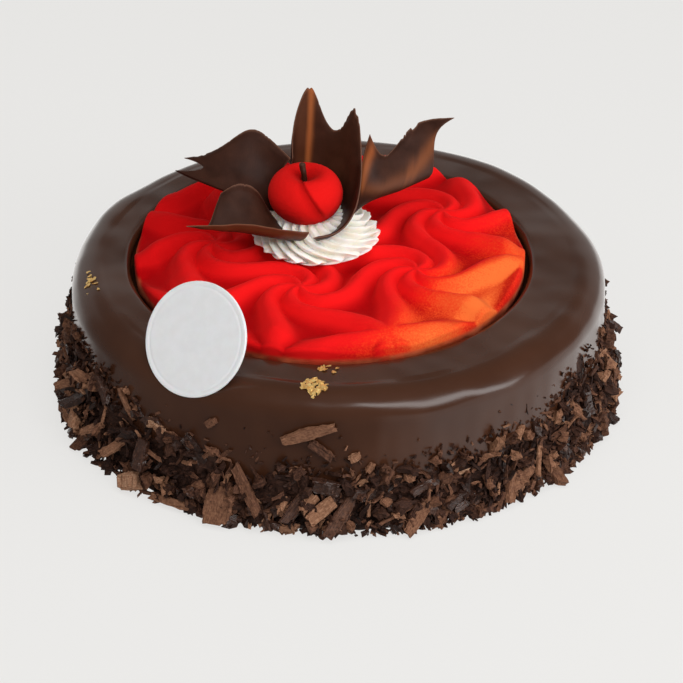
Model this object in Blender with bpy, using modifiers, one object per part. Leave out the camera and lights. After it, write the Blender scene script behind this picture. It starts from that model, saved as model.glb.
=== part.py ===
"""Black forest cake with a red whorled insert, piped cream, chocolate petals and a cherry.

A round glazed cake stands on its flat underside, with chocolate shavings pressed round its foot
and flakes of gold leaf on its rim. A red insert, moulded in seven whorls, lies in a shallow
recess in its top. A piped rosette of cream sits on the insert and holds four thin chocolate
petals and a cherry with a chocolate stem. A bare round plaque leans on the cake's shoulder.

Lengths are metres, +Z is up, -Y is the front and the origin is the middle of the underside.
Petal cages are lists of points in millimetres, which MM turns into metres.
"""

import math
import random

import bmesh
import bpy
import numpy as np
from mathutils import Matrix, Vector

MM = 0.001
CLEARANCE = 0.3 * MM

# Cake
CAKE_RADIUS = 100 * MM
CAKE_HEIGHT = 55 * MM
SHOULDER_RADIUS = 10 * MM
FOOT_ROUND = 1.2 * MM
CAKE_STEPS = 90
SHOULDER_STEPS = 4
CRUMB_DEPTH = 4.4 * MM
CRUMB_FADE = 14 * MM
CRUMB_MEAN = 0.55
CRUMB_FOOT = 0.6
CRUMB_ROWS = (5, 14, 24, 33)

# Recess in the top, which lies a little off the cake's middle
RECESS_CENTRE = (-3.2 * MM, 1.4 * MM)
RECESS_RADIUS = 74.9 * MM
RECESS_DEPTH = 5 * MM
LIP_RADIUS = 2.5 * MM
RECESS_STEPS = 64

# Red insert
INSERT_RADIUS = 73.2 * MM
INSERT_FLOOR = 57.0 * MM
INSERT_RISE = 5.0 * MM
INSERT_EDGE_FALL = 1.6 * MM
INSERT_FRONT_FALL = 0.9
INSERT_EDGE_WIDTH = 9 * MM
INSERT_EDGE_DROP = 1.4 * MM
INSERT_CELLS = 40
INSERT_SEAT = 60.5 * MM
INSERT_SEAT_RADIUS = 21.5 * MM
INSERT_SEAT_EDGE = 4 * MM

# Whorls of the insert, on a hexagonal lattice measured from the insert's middle
WHORL_MIDDLE = (-0.1 * MM, 11.0 * MM)
WHORL_SPACING = 44.9 * MM
WHORL_ANGLE = math.radians(16.2)
WHORL_TWIST = math.radians(92)
WHORL_REACH = 15.8 * MM
RIDGE_WIDTH = 6.4 * MM
RIDGE_SPREAD = 0.38
RIDGE_CORE = 1.5 * MM
RIDGE_POWER = 2.4

# Cream rosette, whose slope is shares of its radius and drops from its top in millimetres
CREAM_CENTRE = (-8.5 * MM, 4.6 * MM)
CREAM_RADIUS = 22.4 * MM
CREAM_FOOT_RADIUS = 18.4 * MM
CREAM_TOP = 74.0 * MM
CREAM_SLOPE = ((0.0, 0.0), (0.29, 0.4), (0.50, 2.2), (0.69, 5.2), (0.83, 7.4), (0.94, 9.4))
CREAM_STEPS = 80

# Its ridges start at a share of its radius and are full at another. They stand out more than up,
# and a share of their twist comes late, near the foot.
CREAM_RIDGES = 20
CREAM_RIDGE_DEPTH = 1.8 * MM
CREAM_RIDGE_START = 0.25
CREAM_RIDGE_FULL = 0.85
CREAM_RIDGE_MIDDLE = 0.6
CREAM_RIDGE_RISE = 0.8
CREAM_TWIST = math.radians(88)
CREAM_LATE_TWIST = 0.6

# Cherry and its stem
CHERRY_CENTRE = (-12.3 * MM, 4.0 * MM, 80.9 * MM)
CHERRY_RADIUS = 13.9 * MM
CHERRY_HALF_HEIGHT = 11.4 * MM
CHERRY_DIMPLE = 6.0 * MM
CHERRY_DIMPLE_WIDTH = 4.2 * MM
CHERRY_CREASE = 0.8 * MM
CHERRY_CREASE_ANGLE = math.radians(-66)
STEM_RADIUS = 1.15 * MM
STEM_LENGTH = 10.2 * MM
STEM_SUNK = 2.4 * MM
STEM_LEAN = math.radians(-7)

# Plaque on the shoulder
PLAQUE_RADIUS = 21 * MM
PLAQUE_THICKNESS = 1.3 * MM
PLAQUE_AZIMUTH = math.radians(-124.6)
PLAQUE_LEAN = math.radians(31.6)
PLAQUE_FOOT = 4.1 * MM
PLAQUE_SUNK = 1.0 * MM
PLAQUE_SEGMENTS = 48

# Chocolate petals
PETAL_THICKNESS = 1.2 * MM
SLOT_CLEARANCE = 0.45 * MM

# Each cage lists its columns from one side of the petal to the other, and each column its
# points from the free edge down to the root, in millimetres.
PETAL_BACK = (
    ((-17.2, 18.0, 88.0), (-18.6, 19.4, 80.0), (-18.4, 16.0, 70.8)),
    ((-17.8, 21.0, 101.0), (-16.8, 21.4, 86.0), (-15.6, 17.4, 71.0)),
    ((-10.6, 25.6, 121.5), (-12.8, 23.6, 92.0), (-12.4, 18.0, 71.2)),
    ((-6.2, 24.0, 101.5), (-7.4, 22.2, 86.0), (-8.4, 17.4, 71.2)),
    ((0.4, 21.4, 93.5), (-1.0, 19.4, 84.0), (-4.0, 14.8, 71.0)),
    ((7.0, 19.6, 117.5), (3.4, 15.0, 85.0), (0.0, 10.4, 70.8)),
    ((8.6, 11.4, 92.0), (6.0, 8.0, 81.0), (1.4, 5.0, 70.6)),
    ((8.6, 1.6, 88.6), (5.6, 0.0, 78.0), (0.8, -0.8, 70.2)),
    ((7.2, -6.8, 81.6), (3.8, -5.6, 75.4), (-0.8, -4.8, 69.6)),
    ((3.4, -12.2, 76.0), (0.8, -9.8, 72.8), (-3.4, -7.6, 69.0)),
    ((-2.4, -15.2, 73.6), (-3.8, -12.4, 71.2), (-5.8, -9.2, 68.8)),
    ((-9.2, -16.4, 73.4), (-8.6, -13.4, 71.2), (-8.0, -10.4, 68.8)),
)
PETAL_LEFT = (
    ((-18.0, 14.8, 89.6), (-22.6, 15.6, 83.0), (-23.2, 13.6, 76.0), (-22.6, 11.0, 69.2)),
    ((-26.0, 22.6, 94.4), (-26.2, 17.0, 85.0), (-26.4, 12.0, 77.6), (-26.4, 7.0, 71.2)),
    ((-33.0, 26.6, 97.8), (-34.0, 19.0, 88.0), (-34.4, 12.6, 81.4), (-34.4, 6.6, 76.6)),
    ((-41.0, 23.8, 91.6), (-41.6, 17.6, 87.2), (-42.0, 11.6, 83.4), (-42.4, 5.4, 80.8)),
    ((-49.0, 22.0, 87.0), (-49.0, 18.0, 85.6), (-49.2, 14.0, 83.8), (-50.0, 8.8, 82.2)),
    ((-58.0, 22.0, 85.6), (-50.4, 18.0, 85.2), (-50.6, 14.6, 84.0), (-61.1, 14.0, 84.7)),
)
PETAL_RIGHT = (
    ((11.6, 13.8, 100.6), (8.4, 13.8, 90.0), (8.0, 8.8, 79.6), (6.8, 7.6, 73.4), (4.8, 7.4, 69.4)),
    ((15.4, 18.6, 87.6), (14.0, 15.0, 84.6), (13.6, 7.4, 78.0), (9.4, 9.2, 73.6), (5.6, 9.8, 69.4)),
    ((20.4, 22.0, 88.6), (19.8, 17.4, 85.6), (19.2, 8.2, 77.8), (12.0, 12.0, 74.4), (6.2, 12.2, 69.4)),
    ((25.4, 28.0, 95.0), (26.8, 22.4, 88.4), (26.0, 10.4, 76.6), (15.6, 15.6, 76.0), (6.8, 14.4, 69.6)),
    ((31.6, 33.0, 97.0), (33.2, 27.0, 92.4), (32.4, 13.4, 78.2), (23.0, 19.4, 78.0), (14.4, 17.2, 75.0)),
    ((43.6, 37.0, 95.2), (34.6, 28.0, 94.6), (36.8, 16.4, 79.6), (30.0, 20.4, 79.6), (23.0, 20.0, 79.0)),
)
PETAL_FRONT = (
    ((-43.6, -2, 84), (-45.6, -7, 80.8), (-47.2, -11.4, 77.6), (-48.6, -13.6, 75.2), (-56, -15, 77.4)),
    ((-37.4, 0.4, 88), (-38.2, -5.6, 82), (-38.4, -10.4, 77.2), (-38.8, -14, 73.4), (-40, -16.8, 79)),
    ((-31, 2.2, 84.6), (-31.6, -4, 79.4), (-31.4, -9.6, 75.4), (-31.8, -14.6, 72.6), (-33, -17.6, 80.2)),
    ((-28.4, 2, 79.6), (-27.2, -4.2, 75.4), (-25.6, -9.4, 72.8), (-25, -14.8, 71.6), (-26, -18.2, 78.8)),
    ((-25.4, 1.6, 73.4), (-24, -4, 71.2), (-20.4, -9, 70), (-18, -14, 70), (-18.4, -17.2, 76.8)),
    ((-21.8, 1, 69), (-20, -4, 68.4), (-16.6, -8.2, 68.4), (-12.8, -11.6, 69.2), (-10.8, -15.2, 75.2)),
)

# Chocolate shavings: name, sides, count, length, width, thickness (ranges in millimetres) and
# how high they reach, as a share of the crumbs' height
SHAVING_SEED = 3
SHAVING_KINDS = (
    ("plank", 4, 24, (9, 16), (4.2, 6.8), (1.7, 2.4), 0.92),
    ("sliver", 3, 66, (5, 10), (2.4, 3.8), (2.0, 3.2), 1.12),
)
SHAVING_JITTER = 0.16
SHAVING_TILT = math.radians(28)
SHAVING_CROWD = 1.5
SHAVING_START = 1.5 * MM
SHAVING_LIFT = 0.25
SHAVING_LOWEST = 0.25 * MM

# Gold leaf flakes: azimuth in degrees, distance from the axis, turn in degrees, length, width
GOLD_THICKNESS = 0.9
GOLD_FLAKES = (
    (-97.5, 90.0, 20, 6.5, 3.6),
    (-94.6, 90.6, -15, 6.0, 3.2),
    (-96.0, 87.4, 70, 4.2, 2.6),
    (-94.3, 77.9, 10, 4.2, 2.2),
    (-167.5, 94.6, 60, 4.0, 2.4),
)


def clear_scene():
    """Removes every object, so that the scene holds only the cake."""
    for old in list(bpy.data.objects):
        bpy.data.objects.remove(old, do_unlink=True)


def new_collection(name):
    """Adds an empty collection to the scene."""
    collection = bpy.data.collections.new(name)
    bpy.context.scene.collection.children.link(collection)
    return collection


def finish(name, colour, roughness):
    """Makes a Principled material of one colour."""
    material = bpy.data.materials.new(name)
    material.use_nodes = True
    shader = material.node_tree.nodes["Principled BSDF"]
    shader.inputs["Base Color"].default_value = (*colour, 1.0)
    shader.inputs["Roughness"].default_value = roughness
    shader.inputs["Metallic"].default_value = 0.0
    return material


def add_object(name, mesh, collection, material=None):
    """Puts a mesh into the scene under a name."""
    obj = bpy.data.objects.new(name, mesh)
    collection.objects.link(obj)
    if material:
        obj.data.materials.append(material)
    return obj


def hide_guide(obj):
    """Marks an object as a cutter, which only shapes other objects."""
    obj.hide_render = True
    obj.display_type = "WIRE"


def mesh_of(name, shape):
    """Turns a bmesh into a mesh and frees it."""
    mesh = bpy.data.meshes.new(name)
    shape.to_mesh(mesh)
    shape.free()
    return mesh


def apply_modifiers(obj):
    """Makes the object's modified shape its own mesh."""
    bpy.context.view_layer.update()
    graph = bpy.context.evaluated_depsgraph_get()
    mesh = bpy.data.meshes.new_from_object(obj.evaluated_get(graph))
    obj.modifiers.clear()
    obj.data = mesh


def points_of(mesh):
    """Gives a mesh's points as an array of rows x, y, z."""
    flat = np.empty(len(mesh.vertices) * 3)
    mesh.vertices.foreach_get("co", flat)
    return flat.reshape(-1, 3)


def move_points(mesh, points):
    """Puts a mesh's points where an array of rows x, y, z says."""
    mesh.vertices.foreach_set("co", points.ravel())
    mesh.update()


def turned(name, profile, steps, collection, material=None):
    """Turns a profile about Z. Its points run down the outer side, from the top to the bottom."""
    mesh = bpy.data.meshes.new(name)
    edges = [(i, i + 1) for i in range(len(profile) - 1)]
    mesh.from_pydata([(r, 0.0, z) for r, z in profile], edges, [])
    obj = add_object(name, mesh, collection, material)
    screw = obj.modifiers.new("turn", "SCREW")
    screw.steps = steps
    screw.render_steps = steps
    screw.use_merge_vertices = True
    screw.merge_threshold = 0.00001
    return obj


def arc(centre, radius, start, end, steps):
    """Points of an arc in a profile, with angles in degrees from the outward direction."""
    angles = [math.radians(start + (end - start) * i / steps) for i in range(steps + 1)]
    return [(centre[0] + radius * math.cos(a), centre[1] + radius * math.sin(a)) for a in angles]


def smooth_step(value):
    """Rises smoothly from 0 to 1 as the value goes from 0 to 1."""
    value = np.clip(value, 0.0, 1.0)
    return value * value * (3 - 2 * value)


def cut(obj, cutter):
    """Cuts a closed shape out of an object."""
    boolean = obj.modifiers.new("cut " + cutter.name, "BOOLEAN")
    boolean.operation = "DIFFERENCE"
    boolean.solver = "EXACT"
    boolean.object = cutter


def shade(obj, angle=35):
    """Shades smooth, with edges sharper than the angle (in degrees) kept sharp."""
    obj.data.shade_smooth()
    obj.data.set_sharp_from_angle(angle=math.radians(angle))


def split_faces(mesh):
    """Splits a mesh's faces into triangles, as bent faces can't be cut cleanly."""
    shape = bmesh.new()
    shape.from_mesh(mesh)
    bmesh.ops.triangulate(shape, faces=shape.faces)
    shape.to_mesh(mesh)
    shape.free()


def keep_main_shell(obj):
    """Drops the scraps and sealed hollows that a union leaves, and keeps the largest shell."""
    shape = bmesh.new()
    shape.from_mesh(obj.data)
    bmesh.ops.triangulate(shape, faces=shape.faces)
    unseen = set(shape.faces)
    shells = []
    while unseen:
        shell = {unseen.pop()}
        front = list(shell)
        while front:
            near = {f for e in front.pop().edges for f in e.link_faces} & unseen
            unseen -= near
            shell |= near
            front.extend(near)
        shells.append(shell)
    shells.sort(key=len, reverse=True)
    loose = [face for shell in shells[1:] for face in shell]
    bmesh.ops.delete(shape, geom=loose, context="FACES")
    shape.to_mesh(obj.data)
    shape.free()


def cake_profile():
    """The cake's outer profile, with a row of points for each row of crumbs near the foot."""
    middle = (CAKE_RADIUS - SHOULDER_RADIUS, CAKE_HEIGHT - SHOULDER_RADIUS)
    shoulder = arc(middle, SHOULDER_RADIUS, 90, 0, SHOULDER_STEPS)
    rows = [(CAKE_RADIUS, row * MM) for row in reversed(CRUMB_ROWS)]
    foot = [(CAKE_RADIUS - FOOT_ROUND, 0.0), (0.0, 0.0)]
    return [(0.0, CAKE_HEIGHT)] + shoulder + rows + foot


def crumb_top(azimuth):
    """Height that the crumbs reach on the side: most at the left and right, least at the front."""
    return (28 - 4 * math.cos(2 * azimuth + math.pi) - 2 * math.cos(azimuth)) * MM


def roughen_cake(mesh, draw):
    """Makes the poured glaze slightly uneven and swells the foot where crumbs are pressed on."""
    points = points_of(mesh)
    radius = np.hypot(points[:, 0], points[:, 1])
    azimuth = np.arctan2(points[:, 1], points[:, 0])
    wave = 0.35 * np.sin(2 * azimuth + 0.6) + 0.25 * np.sin(5 * azimuth + 2.1)
    height = points[:, 2]
    on_side = radius > CAKE_RADIUS - 2 * FOOT_ROUND
    crumbs = np.array([draw.uniform(0.1, 1.0) for _ in radius]) * CRUMB_DEPTH
    top = np.array([crumb_top(a) for a in azimuth])
    fade = smooth_step((top - height) / CRUMB_FADE)
    foot = np.where(height < FOOT_ROUND / 2, CRUMB_FOOT, 1.0)
    growth = wave * MM + np.where(on_side & (height < top), crumbs * fade * foot, 0.0)
    scale = 1 + np.where(radius > SHOULDER_RADIUS, growth / np.maximum(radius, SHOULDER_RADIUS), 0.0)
    points[:, 0] *= scale
    points[:, 1] *= scale
    move_points(mesh, points)
    split_faces(mesh)


def recess_profile():
    """Profile of the cutter for the recess, whose lip is rounded."""
    floor = CAKE_HEIGHT - RECESS_DEPTH
    above = CAKE_HEIGHT + 10 * MM
    lip = arc((RECESS_RADIUS + LIP_RADIUS, CAKE_HEIGHT - LIP_RADIUS), LIP_RADIUS, 90, 180, 3)
    wide = (RECESS_RADIUS + LIP_RADIUS, above)
    return [(0.0, above), wide] + lip + [(RECESS_RADIUS, floor), (0.0, floor)]


def plaque_frame():
    """Gives the plaque's middle of the back face and its axes: across, up its face, outwards."""
    outward = Vector((math.cos(PLAQUE_AZIMUTH), math.sin(PLAQUE_AZIMUTH), 0.0))
    across = Vector((0.0, 0.0, 1.0)).cross(outward)
    normal = outward * math.cos(PLAQUE_LEAN) + Vector((0.0, 0.0, math.sin(PLAQUE_LEAN)))
    upward = normal.cross(across)
    fillet = outward * (CAKE_RADIUS - SHOULDER_RADIUS)
    fillet.z = CAKE_HEIGHT - SHOULDER_RADIUS
    touch = fillet + normal * SHOULDER_RADIUS
    middle = touch - normal * PLAQUE_SUNK + upward * (PLAQUE_RADIUS - PLAQUE_FOOT)
    turn = Matrix((across, upward, normal)).transposed()
    return middle, turn


def disc_on_shoulder(name, radius, back, front, collection, material=None):
    """A round disc square to the plaque's normal, from back to front as seen from its back face."""
    shape = bmesh.new()
    bmesh.ops.create_cone(
        shape, cap_ends=True, segments=PLAQUE_SEGMENTS, radius1=radius, radius2=radius, depth=front - back
    )
    bmesh.ops.translate(shape, verts=shape.verts, vec=(0, 0, (front + back) / 2))
    middle, turn = plaque_frame()
    obj = add_object(name, mesh_of(name, shape), collection, material)
    obj.matrix_world = Matrix.Translation(middle) @ turn.to_4x4()
    return obj


def splinter(name, size, sides, draw):
    """A splinter of chocolate with uneven corners: a slab, or a three-sided sliver."""
    shape = bmesh.new()
    if sides == 4:
        bmesh.ops.create_cube(shape, size=1.0)
    else:
        bmesh.ops.create_cone(
            shape, cap_ends=True, segments=3, radius1=0.62, radius2=0.5, depth=1.0,
            matrix=Matrix.Rotation(math.pi / 2, 4, "Y"),
        )
    for corner in shape.verts:
        for axis in range(3):
            corner.co[axis] += draw.uniform(-SHAVING_JITTER, SHAVING_JITTER)
        corner.co = Vector([corner.co[axis] * size[axis] for axis in range(3)])
    bmesh.ops.triangulate(shape, faces=shape.faces)
    return mesh_of(name, shape)


def place_shaving(name, sides, size, share, collection, draw):
    """Presses one shaving into the side, at a place that is drawn more often near the foot."""
    azimuth = draw.uniform(-math.pi, math.pi)
    limit = crumb_top(azimuth) * share
    height = limit * draw.random() ** SHAVING_CROWD + SHAVING_START
    obj = add_object(name, splinter(name, size, sides, draw), collection)
    swell = CRUMB_DEPTH * CRUMB_MEAN * float(smooth_step((limit - height) / CRUMB_FADE))
    outward = Matrix.Rotation(azimuth, 4, "Z") @ Matrix.Rotation(math.pi / 2, 4, "Y")
    lie = Matrix.Rotation(draw.uniform(0, math.pi), 4, "Z")
    tilt = Matrix.Rotation(draw.uniform(-SHAVING_TILT, SHAVING_TILT), 4, "Y")
    roll = Matrix.Rotation(draw.uniform(-SHAVING_TILT, SHAVING_TILT), 4, "X")
    reach = CAKE_RADIUS + swell + size[2] * SHAVING_LIFT
    place = Vector((reach * math.cos(azimuth), reach * math.sin(azimuth), height))
    obj.matrix_world = Matrix.Translation(place) @ outward @ lie @ tilt @ roll
    lowest = min((obj.matrix_world @ corner.co).z for corner in obj.data.vertices)
    if lowest < SHAVING_LOWEST:
        obj.matrix_world = Matrix.Translation((0, 0, SHAVING_LOWEST - lowest)) @ obj.matrix_world
    return obj


def place_gold(name, azimuth, reach, turn, length, width, collection, draw):
    """Lays one flake of gold leaf on the top, following the shoulder where that falls away."""
    angle = math.radians(azimuth)
    past = max(0.0, reach * MM - (CAKE_RADIUS - SHOULDER_RADIUS))
    slope = math.asin(past / SHOULDER_RADIUS)
    drop = SHOULDER_RADIUS * (1 - math.cos(slope))
    size = (length * MM, width * MM, GOLD_THICKNESS * MM)
    obj = add_object(name, splinter(name, size, 4, draw), collection)
    place = Vector((reach * MM * math.cos(angle), reach * MM * math.sin(angle), CAKE_HEIGHT - drop))
    lie = Matrix.Rotation(angle, 4, "Z") @ Matrix.Rotation(slope, 4, "Y")
    obj.matrix_world = Matrix.Translation(place) @ lie @ Matrix.Rotation(math.radians(turn), 4, "Z")
    return obj


def make_cake(parts, cutters, material):
    """The glazed cake: turned, recessed for the insert, pocketed for the plaque, with shavings."""
    draw = random.Random(SHAVING_SEED)
    cake = turned("cake", cake_profile(), CAKE_STEPS, parts, material)
    apply_modifiers(cake)
    roughen_cake(cake.data, draw)

    recess = turned("recess_cutter", recess_profile(), RECESS_STEPS, cutters)
    recess.location = (*RECESS_CENTRE, 0.0)
    pocket = disc_on_shoulder(
        "plaque_pocket", PLAQUE_RADIUS + CLEARANCE, -CLEARANCE, 4 * PLAQUE_THICKNESS, cutters
    )
    for cutter in (recess, pocket):
        hide_guide(cutter)
        cut(cake, cutter)

    toppings = new_collection("toppings")
    for kind, sides, count, length, width, thickness, share in SHAVING_KINDS:
        for index in range(count):
            size = [draw.uniform(*span) * MM for span in (length, width, thickness)]
            place_shaving(f"{kind}_{index}", sides, size, share, toppings, draw)
    for index, flake in enumerate(GOLD_FLAKES):
        place_gold(f"gold_{index}", *flake, toppings, draw)

    join = cake.modifiers.new("toppings", "BOOLEAN")
    join.operation = "UNION"
    join.solver = "MANIFOLD"
    join.operand_type = "COLLECTION"
    join.collection = toppings
    apply_modifiers(cake)
    for topping in list(toppings.objects):
        bpy.data.objects.remove(topping, do_unlink=True)
    bpy.data.collections.remove(toppings)
    keep_main_shell(cake)
    return cake


def whorl_centres():
    """Middles of the seven whorls: one in the middle and six round it."""
    centres = [WHORL_MIDDLE]
    for side in range(6):
        angle = WHORL_ANGLE + side * math.pi / 3
        x = WHORL_MIDDLE[0] + WHORL_SPACING * math.cos(angle)
        y = WHORL_MIDDLE[1] + WHORL_SPACING * math.sin(angle)
        centres.append((x, y))
    return centres


def whorl_height(x, y):
    """Height of the moulded top at points measured from the insert's middle.

    Three families of straight ridges cross at every whorl's middle. Turning the plane round each
    middle, most at the middle and less with distance, bends them into spiral arms.
    """
    turned_x, turned_y = x.copy(), y.copy()
    nearest = np.full_like(x, WHORL_SPACING)
    for cx, cy in whorl_centres():
        dx, dy = x - cx, y - cy
        away = np.hypot(dx, dy)
        nearest = np.minimum(nearest, away)
        turn = WHORL_TWIST * np.exp(-((away / WHORL_REACH) ** 2))
        turned_x += dx * np.cos(turn) - dy * np.sin(turn) - dx
        turned_y += dx * np.sin(turn) + dy * np.cos(turn) - dy
    row = WHORL_SPACING * math.sqrt(3) / 2
    width = np.minimum(RIDGE_WIDTH, RIDGE_SPREAD * nearest + RIDGE_CORE)
    ridge = np.zeros_like(x)
    for family in range(3):
        angle = WHORL_ANGLE + family * math.pi / 3
        across_x = (turned_x - WHORL_MIDDLE[0]) * math.sin(angle)
        across_y = (turned_y - WHORL_MIDDLE[1]) * math.cos(angle)
        offset = across_y - across_x
        offset -= row * np.round(offset / row)
        ridge = np.maximum(ridge, np.exp(-(np.abs(offset / width) ** RIDGE_POWER)))
    return INSERT_FLOOR + INSERT_RISE * ridge


def insert_height(x, y):
    """The whorls' height, falling at the rim and levelled under the cream, which sits on it.

    The rim falls away more at the front.
    """
    height = whorl_height(x, y)
    to_rim = (np.hypot(x, y) - INSERT_RADIUS) / INSERT_EDGE_WIDTH + 1
    front = smooth_step(0.5 - 0.8 * np.sin(np.arctan2(y, x)))
    height -= INSERT_EDGE_FALL * (1 + INSERT_FRONT_FALL * front) * smooth_step(to_rim)
    cream_x = CREAM_CENTRE[0] - RECESS_CENTRE[0]
    cream_y = CREAM_CENTRE[1] - RECESS_CENTRE[1]
    from_cream = np.hypot(x - cream_x, y - cream_y)
    free = smooth_step((from_cream - INSERT_SEAT_RADIUS) / INSERT_SEAT_EDGE)
    return INSERT_SEAT + (height - INSERT_SEAT) * free


def disc_grid(cells, radius):
    """A flat grid of square cells, each square ring of which is bent into a circle."""
    shape = bmesh.new()
    bmesh.ops.create_grid(shape, x_segments=cells, y_segments=cells, size=1)
    for corner in shape.verts:
        u, v = corner.co.x, corner.co.y
        if abs(u) < abs(v):
            reach, angle = v, math.pi / 2 - u / v * math.pi / 4
        else:
            reach, angle = u, v / u * math.pi / 4 if u else 0.0
        corner.co = Vector((reach * math.cos(angle), reach * math.sin(angle), 0.0)) * radius
    return shape


def make_insert(parts, material):
    """The red insert: a disc whose top follows the whorls and whose rim is slightly rounded.

    It is made flat, with its top at height 0, and its top is then raised to the whorls' height.
    """
    underside = CAKE_HEIGHT - RECESS_DEPTH + CLEARANCE
    shape = disc_grid(INSERT_CELLS, INSERT_RADIUS - INSERT_EDGE_DROP)
    rim = [edge for edge in shape.edges if edge.is_boundary]
    for height in (-INSERT_EDGE_DROP, underside - INSERT_FLOOR):
        made = bmesh.ops.extrude_edge_only(shape, edges=rim)["geom"]
        for corner in [item for item in made if isinstance(item, bmesh.types.BMVert)]:
            corner.co.xy *= INSERT_RADIUS / corner.co.xy.length
            corner.co.z = height
        rim = [item for item in made if isinstance(item, bmesh.types.BMEdge)]
    bmesh.ops.contextual_create(shape, geom=rim)
    bmesh.ops.recalc_face_normals(shape, faces=shape.faces)
    insert = add_object("swirl_insert", mesh_of("swirl_insert", shape), parts, material)
    points = points_of(insert.data)
    upper = points[:, 2] > -1.5 * INSERT_EDGE_DROP
    points[:, 2] += np.where(upper, insert_height(points[:, 0], points[:, 1]), INSERT_FLOOR)
    points += (*RECESS_CENTRE, 0.0)
    move_points(insert.data, points)
    split_faces(insert.data)
    return insert


def cream_profile():
    """Profile of the rosette before its ridges: a mound on a wide foot with a hollow underside."""
    seat = INSERT_SEAT + CLEARANCE
    over = INSERT_FLOOR + INSERT_RISE + 2 * CLEARANCE
    top = [(share * CREAM_RADIUS, CREAM_TOP - drop * MM) for share, drop in CREAM_SLOPE]
    edge = [(CREAM_RADIUS, over + 4 * CLEARANCE), (CREAM_RADIUS - 2 * CLEARANCE, over)]
    return top + edge + [(CREAM_FOOT_RADIUS, seat), (0.0, seat)]


def flute_cream(mesh):
    """Presses ridges into the rosette's slope, which wind round it more and more towards its foot."""
    points = points_of(mesh)
    radius = np.hypot(points[:, 0], points[:, 1])
    azimuth = np.arctan2(points[:, 1], points[:, 0])
    part = radius / CREAM_RADIUS
    wind = CREAM_TWIST * ((1 - CREAM_LATE_TWIST) * part + CREAM_LATE_TWIST * part**4)
    tooth = 2 * (np.abs(np.sin(CREAM_RIDGES * (azimuth - wind) / 2)) - CREAM_RIDGE_MIDDLE)
    outwards = (part - CREAM_RIDGE_START) / (CREAM_RIDGE_FULL - CREAM_RIDGE_START)
    outer = points[:, 2] > INSERT_SEAT + 1 * MM
    growth = np.where(outer, tooth * CREAM_RIDGE_DEPTH * smooth_step(outwards), 0.0)
    points[:, 0] += growth * np.cos(azimuth)
    points[:, 1] += growth * np.sin(azimuth)
    on_top = points[:, 2] > INSERT_FLOOR + INSERT_RISE + 1.5 * MM
    points[:, 2] += np.where(on_top, growth * CREAM_RIDGE_RISE, 0.0)
    points += (*CREAM_CENTRE, 0.0)
    move_points(mesh, points)
    split_faces(mesh)


def swollen(source, name, growth, cutters):
    """A closed copy of an object, grown outwards by the clearance that it needs."""
    bpy.context.view_layer.update()
    graph = bpy.context.evaluated_depsgraph_get()
    mesh = bpy.data.meshes.new_from_object(source.evaluated_get(graph))
    mesh.transform(source.matrix_world)
    shape = bmesh.new()
    shape.from_mesh(mesh)
    shape.normal_update()
    moves = [(corner, corner.normal * growth) for corner in shape.verts]
    for corner, move in moves:
        corner.co += move
    shape.to_mesh(mesh)
    shape.free()
    obj = add_object(name, mesh, cutters)
    hide_guide(obj)
    return obj


def make_cream(parts, cutters, material, held):
    """The piped rosette, slotted for the petals and hollowed for the cherry that it holds."""
    cream = turned("cream_rosette", cream_profile(), CREAM_STEPS, parts, material)
    apply_modifiers(cream)
    flute_cream(cream.data)
    for piece in held:
        cut(cream, swollen(piece, piece.name + "_slot", SLOT_CLEARANCE, cutters))
    return cream


def petal(name, cage, parts, material):
    """A thin wavy sheet of chocolate, smoothed from a coarse cage and thickened evenly."""
    columns, rows = len(cage), len(cage[0])
    shape = bmesh.new()
    bmesh.ops.create_grid(shape, x_segments=columns - 1, y_segments=rows - 1, size=1)
    for corner in shape.verts:
        column = round((corner.co.x + 1) / 2 * (columns - 1))
        row = round((1 - corner.co.y) / 2 * (rows - 1))
        corner.co = Vector(cage[column][row]) * MM
    obj = add_object(name, mesh_of(name, shape), parts, material)
    smooth = obj.modifiers.new("smooth", "SUBSURF")
    smooth.levels = 1
    smooth.render_levels = 1
    smooth.boundary_smooth = "PRESERVE_CORNERS"
    obj.modifiers.new("split", "TRIANGULATE")
    wall = obj.modifiers.new("wall", "SOLIDIFY")
    wall.thickness = PETAL_THICKNESS
    wall.offset = 0.0
    return obj


def make_petals(parts, material):
    """The four petals that stand round the cherry."""
    return [
        petal("petal_back", PETAL_BACK, parts, material),
        petal("petal_left", PETAL_LEFT, parts, material),
        petal("petal_right", PETAL_RIGHT, parts, material),
        petal("petal_front", PETAL_FRONT, parts, material),
    ]


def make_cherry(parts, cutters, material):
    """The cherry: a flattened ball with a dimple at its top and a crease down its front."""
    shape = bmesh.new()
    bmesh.ops.create_uvsphere(shape, u_segments=20, v_segments=12, radius=1.0)
    cherry = add_object("cherry", mesh_of("cherry", shape), parts, material)
    points = points_of(cherry.data)
    turn = CHERRY_CREASE_ANGLE
    x = points[:, 0] * math.cos(turn) - points[:, 1] * math.sin(turn)
    y = points[:, 0] * math.sin(turn) + points[:, 1] * math.cos(turn)
    away = np.hypot(x, y) * CHERRY_RADIUS
    crease_side = np.abs(np.arctan2(points[:, 1], points[:, 0])) < 0.1
    upper = points[:, 2] > -0.35
    inward = np.where(crease_side & upper & (away > 1 * MM), CHERRY_CREASE, 0.0)
    inward = inward / CHERRY_RADIUS
    z = points[:, 2] * CHERRY_HALF_HEIGHT * (1 - inward)
    z = z - np.where(z > 0, CHERRY_DIMPLE * np.exp(-((away / CHERRY_DIMPLE_WIDTH) ** 2)), 0.0)
    placed = np.stack([x * CHERRY_RADIUS * (1 - inward), y * CHERRY_RADIUS * (1 - inward), z], axis=1)
    move_points(cherry.data, placed + CHERRY_CENTRE)
    return cherry


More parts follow.
